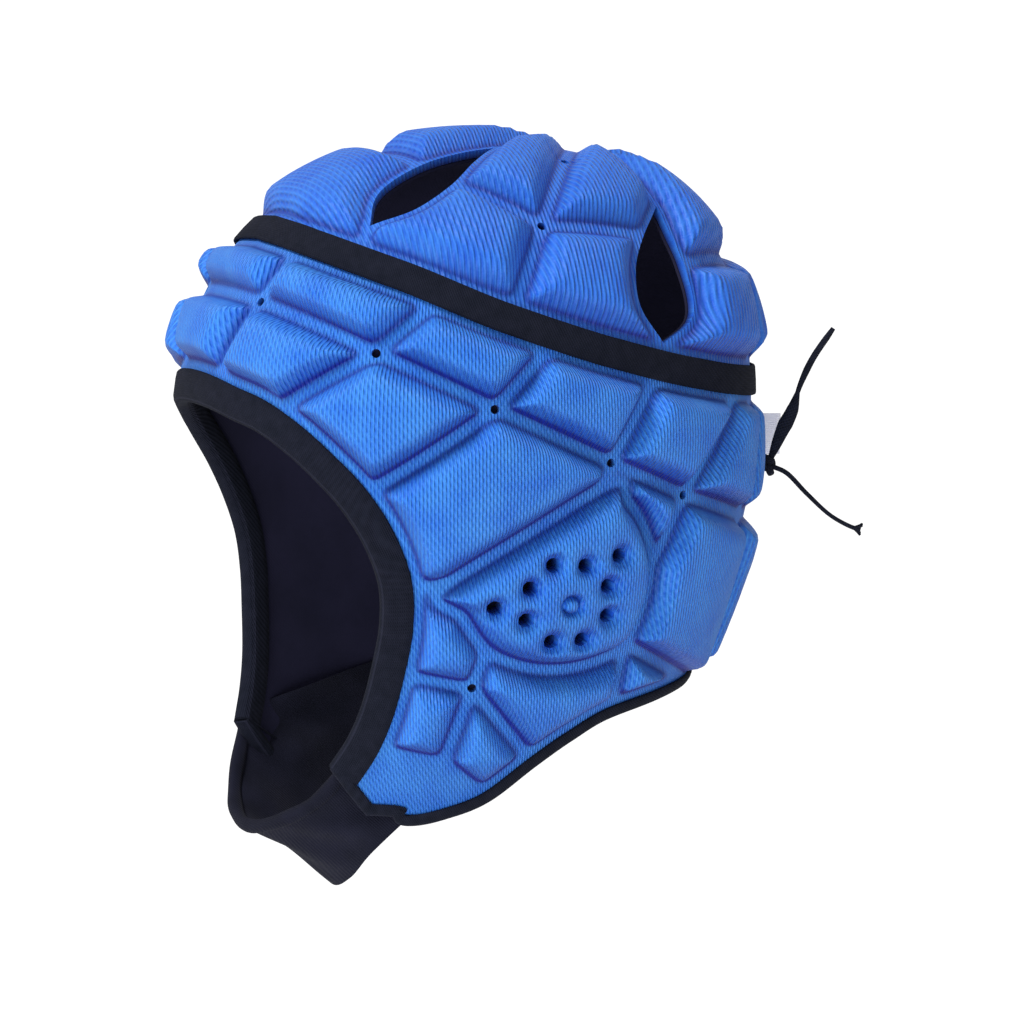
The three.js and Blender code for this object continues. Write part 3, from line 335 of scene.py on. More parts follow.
# The drooping end frays into short strands.
TIP_STRANDS, STRAND_SIDES, STRAND_RINGS, STRAND_THICKNESS = 9, 8, 8, 0.9
tip_end = down_line[-1]
tip_ahead = unit(tip_end - down_line[-6])
tubes = []
for i in range(TIP_STRANDS):
    turn = TURN * i / TIP_STRANDS
    side = np.array([0.3 * math.cos(turn), math.cos(turn) * 0.5, math.sin(turn)])
    side = unit(side - tip_ahead * (side @ tip_ahead))
    reach = 1.7 + 0.5 * math.sin(5 * turn)
    line = smooth_line([tip_end - tip_ahead * 2.2, tip_end - tip_ahead + side * 0.9,
                        tip_end + tip_ahead * 0.3 + side * reach], STRAND_RINGS)
    tubes.append(flat_tube(line, np.linspace(1.5, 0.8, STRAND_RINGS), STRAND_THICKNESS,
                           np.broadcast_to(tip_ahead, line.shape) + side, STRAND_SIDES))
points, faces, around = joined(tubes)
lace_tip = mesh_piece("lace_tip", points, faces, {"around": around})
lace_tip.data.materials.append(lace_cloth)

LACE_ENDS = [
    {"piece": lace_up, "line": up_line, "diameter": 3.0, "far_end": "bare", "others": []},
    {"piece": lace_down, "line": down_line, "diameter": 2.2, "far_end": "knot", "others": [lace_tip, knot]}]
for row in LACE_ENDS:
    line = row["line"]
    line[0] * MM
    row["diameter"] * MM
    line * MM

# Crown and side shells
# Moulded foam pads bonded between a thin backing and a knitted blue mesh. The mesh is pressed into the
# grooves between the pads; the vents and the round holes are cut right through.
HEAD_LENGTH, HEAD_WIDTH, CAP_HEIGHT = 196, 160, 235
WIDEST_LEVEL, DOME_EXPONENT, APEX_SHIFT_BACK, SHIFT_POWER = 0.4, 2.36, 7, 1.5
HUB, POLE_PITCH = np.array([0, 20.0, -60]), math.radians(20)
GAP, LINING, FLOOR = 0.3, 1.0, 4.0
INNER = LINING + GAP
PAD_RISE, PAD_DOME, DOME_RUN, CORNER_RADIUS = 6.8, 1.7, 9, 3.0
WALL_RUN = {"seam_above": 8, "seam_below": 5.8}
INSETS = {"groove": 2.0, "vent": 2.2, "face": 11.6, "hem": 5.9, "seam": 7}
FACE_MARGIN, HEM_MARGIN = 8.6, 2.9
PUNCH_RADIUS, EAR_HOLE_RADIUS = 1.5, 2.5
EAR_RING, EAR_RING_RADIUS = (89.7, .616), 3.0
EAR_PAD_SWELL, SWELL_RUN = 2.0, 8
EAR_HOLE_DIMPLE, EAR_HOLE_DIMPLE_RUN = 2.6, 2.0
EAR_RING_GROOVE, EAR_RING_GROOVE_RUN = 2.4, 0.9
LIP_DEPTH, LIP_RUN = 0.7, 0.7
OUTLINE_STEP, FILL_STEP, LINING_STEP = 1.7, 3.4, 6
ROWS_FROM_FOOT = (-1.2, -0.5, 0.05, 0.45, 0.9, 1.4, 2, 2.7, 3.5, 4.5, 6, 8.2)
ROWS_IN_BORDER = (0.3, 0.6, 0.85)
ROWS_ROUND_HOLE = (0.4, 0.9, 1.5, 2.2)
ROWS_IN_RING = (0.9, 1.7, 2.3, 2.9, 3.5, 4.3)
HOLE_SIDES = 24
ARC_STEPS = 8
CORNER_TURN = 0.6
RAY_REACH = 260
LANDING_REACH = 40


def columns(names, rows):
    """A table's columns by name."""
    return dict(zip(names, np.array(rows, float).T))


SECTIONS = columns(("level", "front", "back", "side", "squareness"), [
    (0.40, 1.00, 1.00, 1.00, 2.25), (0.52, 0.99, 0.99, 0.995, 2.2), (0.64, 0.96, 0.90, 0.96, 2.1),
    (0.76, 0.92, 0.79, 0.90, 2.0), (0.88, 0.90, 0.69, 0.80, 2.0), (1.00, 0.88, 0.60, 0.66, 2.0)])
# The band's line, in degrees round the head from the front and shares of the cap's height below the top
BAND_LINE = columns(("around", "level"), [
    (0, .112), (22, .124), (48, .161), (73, .215), (99, .264), (128, .309), (152, .334), (180, .344)])
BAND_PLACES = {
    "band_brow": 20, "band_temple": 59, "band_ear_front": 87.5, "band_ear_top": 115, "band_ear_back": 143,
    "band_nape": 152, "vent_1_foot": 36.5, "middle_foot": 75, "vent_2_foot": 118, "rear_foot": 151}
# Corners of the side pads: degrees round the head, share of the cap's height below the top
SIDE_PLACES = {
    "brow": (16, .203), "temple": (45.7, .262), "ear_front": (72, .339), "ear_top": (101.7, .423),
    "ear_back": (122.3, .480), "nape_top": (147, .528), "ear_pad_top": (100, .456),
    "ear_rim_a": (106.5, .482), "ear_rim_b": (111.5, .524), "ear_rim_c": (114.3, .577),
    "ear_rim_d": (113.5, .632), "ear_foot": (109, .690), "ear_rim_e": (101, .711),
    "ear_rim_f": (90, .719), "ear_rim_g": (79.5, .710), "ear_pad_low": (70.7, .684),
    "ear_rim_h": (65, .636), "ear_pad_front": (61, .588), "jaw_cross": (67.3, .740),
    "jaw_low": (59.7, .852)}
# Corners of the crown pads: degrees round the crown's pole, degrees of tilt away from it
CROWN_PLACES = {
    "pole": (0, 0), "upper": (62.5, 32), "vent_1_tip": (21, 36), "vent_1_front_a": (20, 49),
    "vent_1_front_b": (19.5, 62), "vent_1_front_c": (21, 75), "vent_1_end": (26.5, 83.5),
    "vent_1_rear_a": (31, 52), "vent_1_rear_b": (34.5, 65), "vent_1_rear_c": (32.5, 76),
    "middle": (62.5, 67), "vent_2_tip": (109, 43), "vent_2_front_a": (96.5, 57.5),
    "vent_2_front_b": (93, 69), "vent_2_front_c": (95.5, 79), "vent_2_end": (104, 86),
    "vent_2_rear_a": (109.5, 53), "vent_2_rear_b": (112, 62), "vent_2_rear_c": (114, 76),
    "rear": (149, 56)}
# The lines of the two sewn edges: name, degrees round the head, share of the cap's height
FACE_LINE = [
    ("face_0", 0, .306), ("face_brow", 8, .309), ("face_a", 15.5, .318), ("face_temple", 24, .333),
    ("face_b", 32, .363), ("face_c", 39, .403), ("face_cheek", 45.5, .452), ("face_d", 50.8, .512),
    ("face_ear", 54, .580), ("face_e", 53.9, .650), ("face_jaw", 51.5, .718), ("face_f", 48, .785),
    ("face_chin", 43.5, .840), ("face_end", 38, .886)]
HEM_LINE = [
    ("hem_end", 39.5, .916), ("hem_a", 49, .932), ("hem_b", 60, .921), ("hem_chin", 71, .899),
    ("hem_jaw", 84, .850), ("hem_c", 95, .813), ("hem_ear", 107, .785), ("hem_d", 127, .771),
    ("hem_nape", 147, .766), ("hem_e", 167, .762), ("hem_f", 173.5, .752), ("hem_g", 175.3, .728),
    ("slit_mid", 175.6, .532), ("slit_top", 175.6, .3444)]
# Rows of corners that one smooth curve joins
SMOOTH_CHAINS = [
    ["vent_1_tip", "vent_1_front_a", "vent_1_front_b", "vent_1_front_c", "vent_1_end"],
    ["vent_1_tip", "vent_1_rear_a", "vent_1_rear_b", "vent_1_rear_c", "vent_1_end"],
    ["vent_2_tip", "vent_2_front_a", "vent_2_front_b", "vent_2_front_c", "vent_2_end"],
    ["vent_2_tip", "vent_2_rear_a", "vent_2_rear_b", "vent_2_rear_c", "vent_2_end"],
    ["ear_pad_top", "ear_pad_front", "ear_rim_h", "ear_pad_low", "ear_rim_g", "ear_rim_f", "ear_rim_e",
     "ear_foot", "ear_rim_d", "ear_rim_c", "ear_rim_b", "ear_rim_a", "ear_pad_top"]]
# Pads: name, whether it lies across the middle, how much of the full rise it has, its corners in turn
SIDE_CELLS = [
    ("forehead_upper", True, .8, "-band_brow -brow brow band_brow"),
    ("forehead_lower", True, 1, "-brow -face_brow face_brow brow"),
    ("brow_upper", False, 1, "band_brow brow temple band_temple"),
    ("brow_lower", False, 1, "brow face_brow face_temple temple"),
    ("temple_upper", False, 1, "band_temple temple ear_front band_ear_front"),
    ("temple_lower", False, 1, "temple face_temple face_cheek ear_front"),
    ("ear_upper", False, 1, "band_ear_front ear_front ear_top band_ear_top"),
    ("cheek", False, 1, "ear_front face_cheek face_ear ear_pad_front ear_pad_top ear_top"),
    ("rear_upper", False, 1, "band_ear_top ear_top ear_back band_ear_back"),
    ("rear_strip", False, .85, "band_ear_back ear_back nape_top band_nape"),
    ("nape_upper", False, .6, "band_nape nape_top slit_mid slit_top"),
    ("ear_wedge", False, .9, "ear_top ear_pad_top ear_rim_a ear_rim_b ear_rim_c ear_back"),
    ("rear_tall", False, 1, "ear_back ear_rim_c ear_rim_d ear_foot hem_nape nape_top"),
    ("nape_lower", False, 1, "nape_top hem_nape slit_mid"),
    ("ear_pad", False, .9, "ear_pad_top ear_pad_front ear_rim_h ear_pad_low ear_rim_g ear_rim_f ear_rim_e"
     " ear_foot ear_rim_d ear_rim_c ear_rim_b ear_rim_a"),
    ("jaw_front", False, .85, "ear_pad_front face_ear face_jaw jaw_cross ear_pad_low ear_rim_h"),
    ("jaw_middle", False, .8, "face_jaw face_chin jaw_low jaw_cross"),
    ("jaw_rear", False, .8, "jaw_cross jaw_low hem_chin hem_jaw"),
    ("under_ear", False, .9, "ear_pad_low jaw_cross hem_jaw hem_ear ear_foot ear_rim_e ear_rim_f ear_rim_g"),
    ("under_rear", False, .8, "ear_foot hem_ear hem_nape"),
    ("jaw_flap", False, 0, "face_chin face_end hem_end hem_chin jaw_low")]
CROWN_CELLS = [
    ("front_upper", True, .85, "pole -vent_1_tip -vent_1_front_a -vent_1_front_b vent_1_front_b"
     " vent_1_front_a vent_1_tip"),
    ("front_lower", True, .8, "-vent_1_front_b -vent_1_front_c -vent_1_end -vent_1_foot vent_1_foot"
     " vent_1_end vent_1_front_c vent_1_front_b"),
    ("left_front_upper", False, .8, "pole vent_1_tip vent_1_rear_a vent_1_rear_b middle upper"),
    ("left_front_lower", False, 1, "vent_1_rear_b vent_1_rear_c vent_1_end vent_1_foot middle_foot middle"),
    ("left_rear_upper", False, .8, "pole upper middle vent_2_front_a vent_2_tip"),
    ("left_rear_lower", False, 1, "middle middle_foot vent_2_foot vent_2_end vent_2_front_c vent_2_front_b"
     " vent_2_front_a"),
    ("rear_upper", False, .95, "pole vent_2_tip vent_2_rear_a vent_2_rear_b rear"),
    ("rear_lower", False, 1, "vent_2_rear_b vent_2_rear_c vent_2_end vent_2_foot rear_foot rear"),
    ("back_upper", True, .95, "pole rear -rear"),
    ("back_lower", True, 1, "rear rear_foot -rear_foot -rear")]
# Holes through the ear pad, as degrees round the head and shares of the cap's height
EAR_HOLES = [(71.7, .616), (79.7, .590), (85.3, .559), (93.3, .562), (102, .551), (99.3, .593), (99.7, .636),
             (93.7, .669), (85.7, .669), (79, .635)]
PUNCHED = {"brow", "temple", "ear_front", "ear_top", "ear_back", "jaw_cross", "middle", "rear", "upper"}


def cubic(before, low, high, after, t):
    """A smooth value from low to high."""
    return (2 * low + (high - before) * t + (2 * before - 5 * low + 4 * high - after) * t**2
            + (3 * low - before - 3 * high + after) * t**3) / 2


def read_rows(table, key, column, at):
    """A column of a table read smoothly between its rows."""
    keys, values = table[key], table[column]
    i = np.clip(np.searchsorted(keys, at) - 1, 0, len(keys) - 2)
    t = np.clip((at - keys[i]) / (keys[i + 1] - keys[i]), 0, 1.5)
    after = np.where(i + 2 < len(keys), values[np.minimum(i + 2, len(keys) - 1)],
                     2 * values[i + 1] - values[i])
    return cubic(values[np.maximum(i - 1, 0)], values[i], values[i + 1], after, t)


def form_depth(p):
    """Below zero inside the head form."""
    level = -p[..., 2] / CAP_HEIGHT
    up = np.maximum((WIDEST_LEVEL - level) / WIDEST_LEVEL, 0)
    low = np.maximum(level, WIDEST_LEVEL)
    y = p[..., 1] - APEX_SHIFT_BACK * up**SHIFT_POWER
    half_length = HEAD_LENGTH / 2 * np.where(y < 0, read_rows(SECTIONS, "level", "front", low),
                                             read_rows(SECTIONS, "level", "back", low))
    half_width = HEAD_WIDTH / 2 * read_rows(SECTIONS, "level", "side", low)
    square = read_rows(SECTIONS, "level", "squareness", low)
    reach = (np.abs(p[..., 0] / half_width) ** square + np.abs(y / half_length) ** square) ** (1 / square)
    return reach**DOME_EXPONENT + up**DOME_EXPONENT - 1


def form_normal(p):
    """The way straight off the head form at points near it."""
    steps = np.eye(3) * 0.3
    return unit(np.stack([form_depth(p + s) - form_depth(p - s) for s in steps], -1))


def to_form(start, way, reach=RAY_REACH):
    """Where rays from inside the head form leave it."""
    near, far = np.zeros(way.shape[:-1]), np.full(way.shape[:-1], float(reach))
    for _ in range(34):
        middle = (near + far) / 2
        inside = form_depth(start + way * middle[..., None]) < 0
        near, far = np.where(inside, middle, near), np.where(inside, far, middle)
    return start + way * far[..., None]


def on_side(around, level):
    """A place of the form, from degrees round it and its share of the cap's height below the top."""
    around, level = np.broadcast_arrays(np.radians(around), np.asarray(level, float))
    up = np.clip((WIDEST_LEVEL - level) / WIDEST_LEVEL, 0, 1)
    start = np.stack([0 * up, APEX_SHIFT_BACK * up**SHIFT_POWER, -level * CAP_HEIGHT], -1)
    return to_form(start, np.stack([np.sin(around), -np.cos(around), 0 * up], -1))


def on_crown(turn, tilt):
    """A place of the crown from its turn round the pole and its tilt away from it, in degrees."""
    turn, tilt = math.radians(turn), math.radians(tilt)
    pole = np.array([0, math.sin(POLE_PITCH), math.cos(POLE_PITCH)])
    front = np.array([0, -pole[2], pole[1]])
    way = pole * math.cos(tilt) + front * math.sin(tilt) * math.cos(turn)
    way[0] += math.sin(tilt) * math.sin(turn)
    return to_form(HUB, way)


def landed(p, normal=None):
    """Points near the form moved onto it."""
    normal = form_normal(p) if normal is None else np.broadcast_to(normal, p.shape)
    return to_form(p - normal * LANDING_REACH, normal, 2 * LANDING_REACH)


def lifted(p, height):
    """Points of the form raised off it."""
    return p + form_normal(p) * np.asarray(height, float)[..., None]


def band_level(around):
    """How far below the top the band runs, as a share of the cap's height."""
    return read_rows(BAND_LINE, "around", "level", np.abs((np.asarray(around, float) + 540) % 360 - 180))


def line_places(line, t):
    """Points of the form along one of the edge lines, mirrored for t below 0."""
    around, level = (np.array([row[k] for row in line], float) for k in (1, 2))
    last = len(line) - 1
    i = np.minimum(np.floor(t), last - 1).astype(int)

    def near(values, j, odd):
        return values[np.minimum(np.abs(j), last)] * np.where(odd & (j < 0), -1, 1)

    return on_side(*(cubic(*(near(v, i + k, odd) for k in (-1, 0, 1, 2)), t - i)
                     for v, odd in ((around, True), (level, False))))


def line_edge(line, margin, t):
    """The shell's true edge, a margin beyond the line, and the way off the shell."""
    t = np.atleast_1d(np.asarray(t, float))
    last = len(line) - 1
    first = 0 if line is HEM_LINE else -last
    ahead = line_places(line, np.minimum(t + 0.04, last))
    behind = line_places(line, np.maximum(t - 0.04, first))
    along = unit(ahead - behind)
    middle = line_places(line, t)
    normal = form_normal(middle)
    off = unit(np.cross(along, normal))
    return landed(middle + off * margin, normal), off


def edge_points(edge, t):
    """Points of a shell's edge: the face opening, the hem or the seam under the band."""
    if edge == "face":
        return line_edge(FACE_LINE, FACE_MARGIN, t)[0]
    if edge == "hem":
        return line_edge(HEM_LINE, HEM_MARGIN, t)[0]
    shift = GAP / CAP_HEIGHT * (1 if edge == "seam_below" else -1)
    return on_side(np.atleast_1d(t), band_level(t) + shift)


@functools.lru_cache(maxsize=None)
def place_of(label, seam):
    """Where a named place is, and how far along each edge that it lies on."""
    side = -1 if label[0] == "-" else 1
    name = label.lstrip("-")
    for edge, line in (("face", FACE_LINE), ("hem", HEM_LINE)):
        for i, row in enumerate(line):
            if row[0] == name:
                t = i * side if edge == "face" else i
                point = edge_points(edge, t)[0]
                edges = {edge: t}
                if name == "slit_top":
                    edges[seam] = 180 - math.degrees(math.atan2(point[0], point[1]))
                return point, edges
    if name in BAND_PLACES:
        around = BAND_PLACES[name] * side
        return edge_points(seam, around)[0], {seam: around}
    if name in SIDE_PLACES:
        around, level = SIDE_PLACES[name]
        return on_side(around * side, level), {}
    turn, tilt = CROWN_PLACES[name]
    return on_crown(turn * side, tilt), {}


def fine_steps(line, margin_edge, first, last):
    """Stops from one row of an edge line to a later one, the same whichever cell asks."""
    stops = [np.array([first])]
    for row in range(int(first), int(last)):
        ends = line_places(line, np.array([row, row + 1.0]))
        count = max(2, round(float(np.linalg.norm(ends[1] - ends[0])) / OUTLINE_STEP))
        stops.append(row + np.arange(1, count + 1) / count)
    return edge_points(margin_edge, np.concatenate(stops))


def stretch(a, b, seam):
    """Points from place a to place b, both included, and the kind of edge between them."""
    (start, a_on), (end, b_on) = place_of(a, seam), place_of(b, seam)
    shared = [edge for edge in ("face", "hem", seam) if edge in a_on and edge in b_on]
    steps = max(2, round(float(np.linalg.norm(end - start)) / OUTLINE_STEP))
    share = np.arange(steps + 1)[:, None] / steps
    if shared and shared[0] in ("face", "hem"):
        line = FACE_LINE if shared[0] == "face" else HEM_LINE
        low, high = sorted((a_on[shared[0]], b_on[shared[0]]))
        points = fine_steps(line, shared[0], low, high)
        return (points if a_on[shared[0]] == low else points[::-1]), shared[0]
    if shared:
        from_turn, to_turn = a_on[seam], b_on[seam]
        if abs(to_turn - from_turn) > 180:
            to_turn += 360 * np.sign(from_turn - to_turn)
        points = edge_points(seam, (from_turn + (to_turn - from_turn) * share)[:, 0])
        points[0], points[-1] = start, end
        return points, "seam"
    names = [label.lstrip("-") for label in (a, b)]
    sign = "-" if "-" in a + b else ""
    points = start + (end - start) * share
    for chain in SMOOTH_CHAINS:
        for i in range(len(chain) - 1):
            if {chain[i], chain[i + 1]} != set(names) or (a[0] == "-") != (b[0] == "-"):
                continue
            loop = chain[0] == chain[-1]
            before = chain[i - 1] if i > 0 else chain[-2] if loop else None
            after = chain[i + 2] if i + 2 < len(chain) else chain[1] if loop else None
            low, high = (place_of(sign + n, seam)[0] for n in (chain[i], chain[i + 1]))
            outer = [2 * near - far if n is None else place_of(sign + n, seam)[0]
                     for n, near, far in ((before, low, high), (after, high, low))]
            points = cubic(outer[0], low, high, outer[1], share)
            if names[0] != chain[i]:
                points = points[::-1]
    middle = landed(points[1:-1])
    both_on_vent = all(n.startswith("vent") and n[5] == names[0][5] and "foot" not in n for n in names)
    return np.vstack([start, middle, end]), "vent" if both_on_vent else "groove"


def cut_at(points, centre, radius):
    """The part of a line that starts at centre which lies outside a circle round it."""
    far = np.linalg.norm(points - centre, axis=1)
    i = int(np.argmax(far > radius * 1.15))
    t = (radius - far[i - 1]) / (far[i] - far[i - 1])
    return np.vstack([points[i - 1] + (points[i] - points[i - 1]) * t, points[i:]])


def outline_of(cell, seam, punched):
    """A cell's outline, the inset of each of its stretches and which side of the cell each belongs to."""
    labels = cell[3].split()
    runs, kinds = [], []
    for a, b in zip(labels, labels[1:] + labels[:1]):
        points, kind = stretch(a, b, seam)
        if a.lstrip("-") in punched:
            points = cut_at(points, place_of(a, seam)[0], PUNCH_RADIUS)
        if b.lstrip("-") in punched:
            points = cut_at(points[::-1], place_of(b, seam)[0], PUNCH_RADIUS)[::-1]
        runs.append(points)
        kinds.append(kind)
    ring, insets, sides = [], [], []
    side = 0
    for i, (run, kind) in enumerate(zip(runs, kinds)):
        before = runs[i - 1]
        turn = float(np.clip(unit(before[-1] - before[-3]) @ unit(run[2] - run[0]), -1, 1))
        if i and math.acos(turn) > CORNER_TURN or kinds[i - 1] != kind:
            side += 1
        ring.append(run[:-1])
        insets += [INSETS[kind]] * (len(run) - 1)
        sides += [side] * (len(run) - 1)
        name = labels[(i + 1) % len(labels)]
        if name.lstrip("-") in punched:
            centre = place_of(name, seam)[0]
            normal = form_normal(centre)
            start, end = run[-1] - centre, runs[(i + 1) % len(runs)][0] - centre
            way = np.cross(normal, unit(start))
            angle = math.atan2(end @ way, end @ unit(start)) % TURN - TURN
            turns = np.linspace(0, angle, ARC_STEPS + 1)[:, None]
            arc = landed(centre + PUNCH_RADIUS * (unit(start) * np.cos(turns) + way * np.sin(turns)), normal)
            arc[0], arc[-1] = run[-1], runs[(i + 1) % len(runs)][0]
            ring.append(arc[:-1])
            insets += [INSETS["groove"] - 1] * ARC_STEPS
            sides += [side] * ARC_STEPS
    return np.vstack(ring), np.array(insets), np.array(sides)


def segment_distances(points, starts, ends):
    """The distance of every point from every segment."""
    way = ends - starts
    from_start = points[:, None] - starts
    t = np.clip((from_start * way).sum(-1) / (way * way).sum(-1), 0, 1)
    return np.linalg.norm(from_start - way * t[..., None], axis=-1)


def foot_distance(points, ring, insets, sides):
    """How far points are inside the pad's foot, with the corners between sides rounded."""
    past = segment_distances(points, ring, np.roll(ring, -1, axis=0)) - insets
    by_side = np.stack([past[:, sides == s].min(1) for s in np.unique(sides)], 1)
    short = np.maximum(CORNER_RADIUS - by_side, 0)
    rounded = CORNER_RADIUS - np.sqrt((short**2).sum(1))
    return np.where(by_side.min(1) > CORNER_RADIUS, by_side.min(1), rounded)


def filling_of(flat, insets, padded, step):
    """Points inside a flattened cell: rows along the pad's foot and across wide borders, then a honeycomb."""
    after = np.roll(flat, -1, axis=0)
    low, high = flat.min(0), flat.max(0)
    grid = np.meshgrid(np.arange(low[0], high[0], step), np.arange(low[1], high[1], step * 0.87))
    grid = np.stack(grid, -1)
    grid[1::2, :, 0] += step / 2
    grid = grid.reshape(-1, 2)
    if not padded:
        return grid
    along = unit(after - flat)
    inward = np.stack([-along[:, 1], along[:, 0]], 1)
    inward = unit(inward + np.roll(inward, 1, axis=0))
    filling = []
    for row in ROWS_FROM_FOOT:
        p = flat + inward * (insets + row)[:, None]
        past = (segment_distances(p, flat, after) - insets).min(1)
        filling.append(p[past > row - 0.12])
    last = ROWS_FROM_FOOT[-1] + 1.8
    grid = grid[(segment_distances(grid, flat, after) - insets).min(1) > last]
    wide = insets > 4
    if wide.any():
        for share in ROWS_IN_BORDER:
            p = flat[wide] + inward[wide] * (insets[wide] * share)[:, None]
            filling.append(p[segment_distances(p, flat, after).min(1) > insets[wide].min() * share * 0.9])
    return np.vstack([*filling, grid])


def inside_outline(points, flat, margin):
    """Which points lie inside a flattened outline and clear of it."""
    after = np.roll(flat, -1, axis=0)
    crossings = np.zeros(len(points))
    for p, q in zip(flat, after):
        crosses = (p[1] > points[:, 1]) != (q[1] > points[:, 1])
        x = p[0] + (points[:, 1] - p[1]) * (q[0] - p[0]) / np.where(crosses, q[1] - p[1], 1)
        crossings += crosses & (points[:, 0] < x)
    return (segment_distances(points, flat, after).min(1) > margin) & (crossings % 2 == 1)


def with_ear_holes(filling, hole_centres, ring_middle):
    """A cell's filling with rows of points round each ear hole and along the pressed ring."""
    turns = np.linspace(0, TURN, HOLE_SIDES, endpoint=False)
    circle = np.stack([np.cos(turns), np.sin(turns)], 1)
    clear = EAR_HOLE_RADIUS + ROWS_ROUND_HOLE[-1] + 0.5
    for centre in hole_centres:
        filling = filling[np.linalg.norm(filling - centre, axis=1) > clear]
    for centre in hole_centres:
        for wider in ROWS_ROUND_HOLE:
            filling = np.vstack([filling, centre + circle * (EAR_HOLE_RADIUS + wider)])
    filling = filling[np.linalg.norm(filling - ring_middle, axis=1) > ROWS_IN_RING[-1] + 0.3]
    filling = np.vstack([filling, ring_middle[None]] + [ring_middle + circle * r for r in ROWS_IN_RING])
    return filling, [centre + circle * EAR_HOLE_RADIUS for centre in hole_centres]


def triangulated(flat, rims, filling):
    """The plane points of a cell, its triangles and the outline point that each one came from, or -1."""
    edges = [(i, (i + 1) % len(flat)) for i in range(len(flat))]
    count = len(flat)
    for rim in rims:
        edges += [(count + i, count + (i + 1) % len(rim)) for i in range(len(rim))]
        count += len(rim)
    made, _, faces, sources, _, _ = delaunay_2d_cdt(
        [Vector(p) for p in np.vstack([flat, *rims, filling])], edges, [], 1, 1e-5)
    made = np.array([tuple(p) for p in made])
    source = np.array([s[0] if s and s[0] < len(flat) else -1 for s in sources])
    faces = np.array([f for f in faces if len(f) == 3])
    p, q, r = (made[faces[:, k]] for k in range(3))
    area = (q[:, 0] - p[:, 0]) * (r[:, 1] - p[:, 1]) - (q[:, 1] - p[:, 1]) * (r[:, 0] - p[:, 0])
    faces[area < 0] = faces[area < 0][:, ::-1]
    return made, faces[np.abs(area) > 1e-7], source


def cell_mesh(cell, seam, fine):
    """One cell's form points, triangles, heights, distances inside the pad's foot and shares of a lip."""
    name, _, rise, _ = cell
    ring, insets, sides = outline_of(cell, seam, PUNCHED if fine else ())
    normal = form_normal(ring.mean(0))
    origin = landed(ring.mean(0), normal)
    across = np.cross((0, 0, 1), normal)
    across = unit(across if np.linalg.norm(across) > 0.2 else np.array([1.0, 0, 0]))
    plane = np.stack([across, np.cross(normal, across)], 1)
    flat = (ring - origin) @ plane
    filling = filling_of(flat, insets, fine and rise > 0, FILL_STEP if fine else LINING_STEP)
    filling = filling[inside_outline(filling, flat, 0.45 if fine else 2.5)]
    rims, hole_centres = [], []
    if fine and name == "ear_pad":
        hole_centres = [(on_side(*place) - origin) @ plane for place in EAR_HOLES]
        ring_middle = (on_side(*EAR_RING) - origin) @ plane
        filling, rims = with_ear_holes(filling, hole_centres, ring_middle)
    _, keep = np.unique(np.round(filling / 0.5), axis=0, return_index=True)
    made, faces, source = triangulated(flat, rims, filling[np.sort(keep)])
    base = landed(origin + made @ plane.T, normal)
    on_ring = source >= 0
    base[on_ring] = ring[source[on_ring]]
    for centre in hole_centres:
        faces = faces[np.linalg.norm(made[faces].mean(1) - centre, axis=1) >= EAR_HOLE_RADIUS * 0.97]
    height, past, lip = np.full(len(base), FLOOR), np.full(len(base), -9.0), np.zeros(len(base))
    if not (fine and rise):
        return base, faces, height, past, lip
    past = foot_distance(base, ring, insets, sides)
    wall = np.clip(past / WALL_RUN[seam], 0, 1)
    height += PAD_RISE * rise * np.sin(math.pi / 2 * wall**1.2)
    height += PAD_DOME * (1 - np.exp(-np.maximum(past - 1, 0) / DOME_RUN))
    height[on_ring] = FLOOR
    for centre in hole_centres:
        far = np.maximum(np.linalg.norm(made - centre, axis=1) - EAR_HOLE_RADIUS, 0)
        lip = np.maximum(lip, np.exp(-far / LIP_RUN))
        height -= EAR_HOLE_DIMPLE * np.exp(-(far / EAR_HOLE_DIMPLE_RUN) ** 2)
    if hole_centres:
        height += EAR_PAD_SWELL * (1 - np.exp(-np.maximum(past, 0) / SWELL_RUN))
        from_ring = np.linalg.norm(made - ring_middle, axis=1) - EAR_RING_RADIUS
        groove = np.exp(-(from_ring / EAR_RING_GROOVE_RUN) ** 2)
        height -= EAR_RING_GROOVE * groove
        lip = np.maximum(lip, 0.7 * groove)
    return base, faces, height - LIP_DEPTH * lip, past, lip


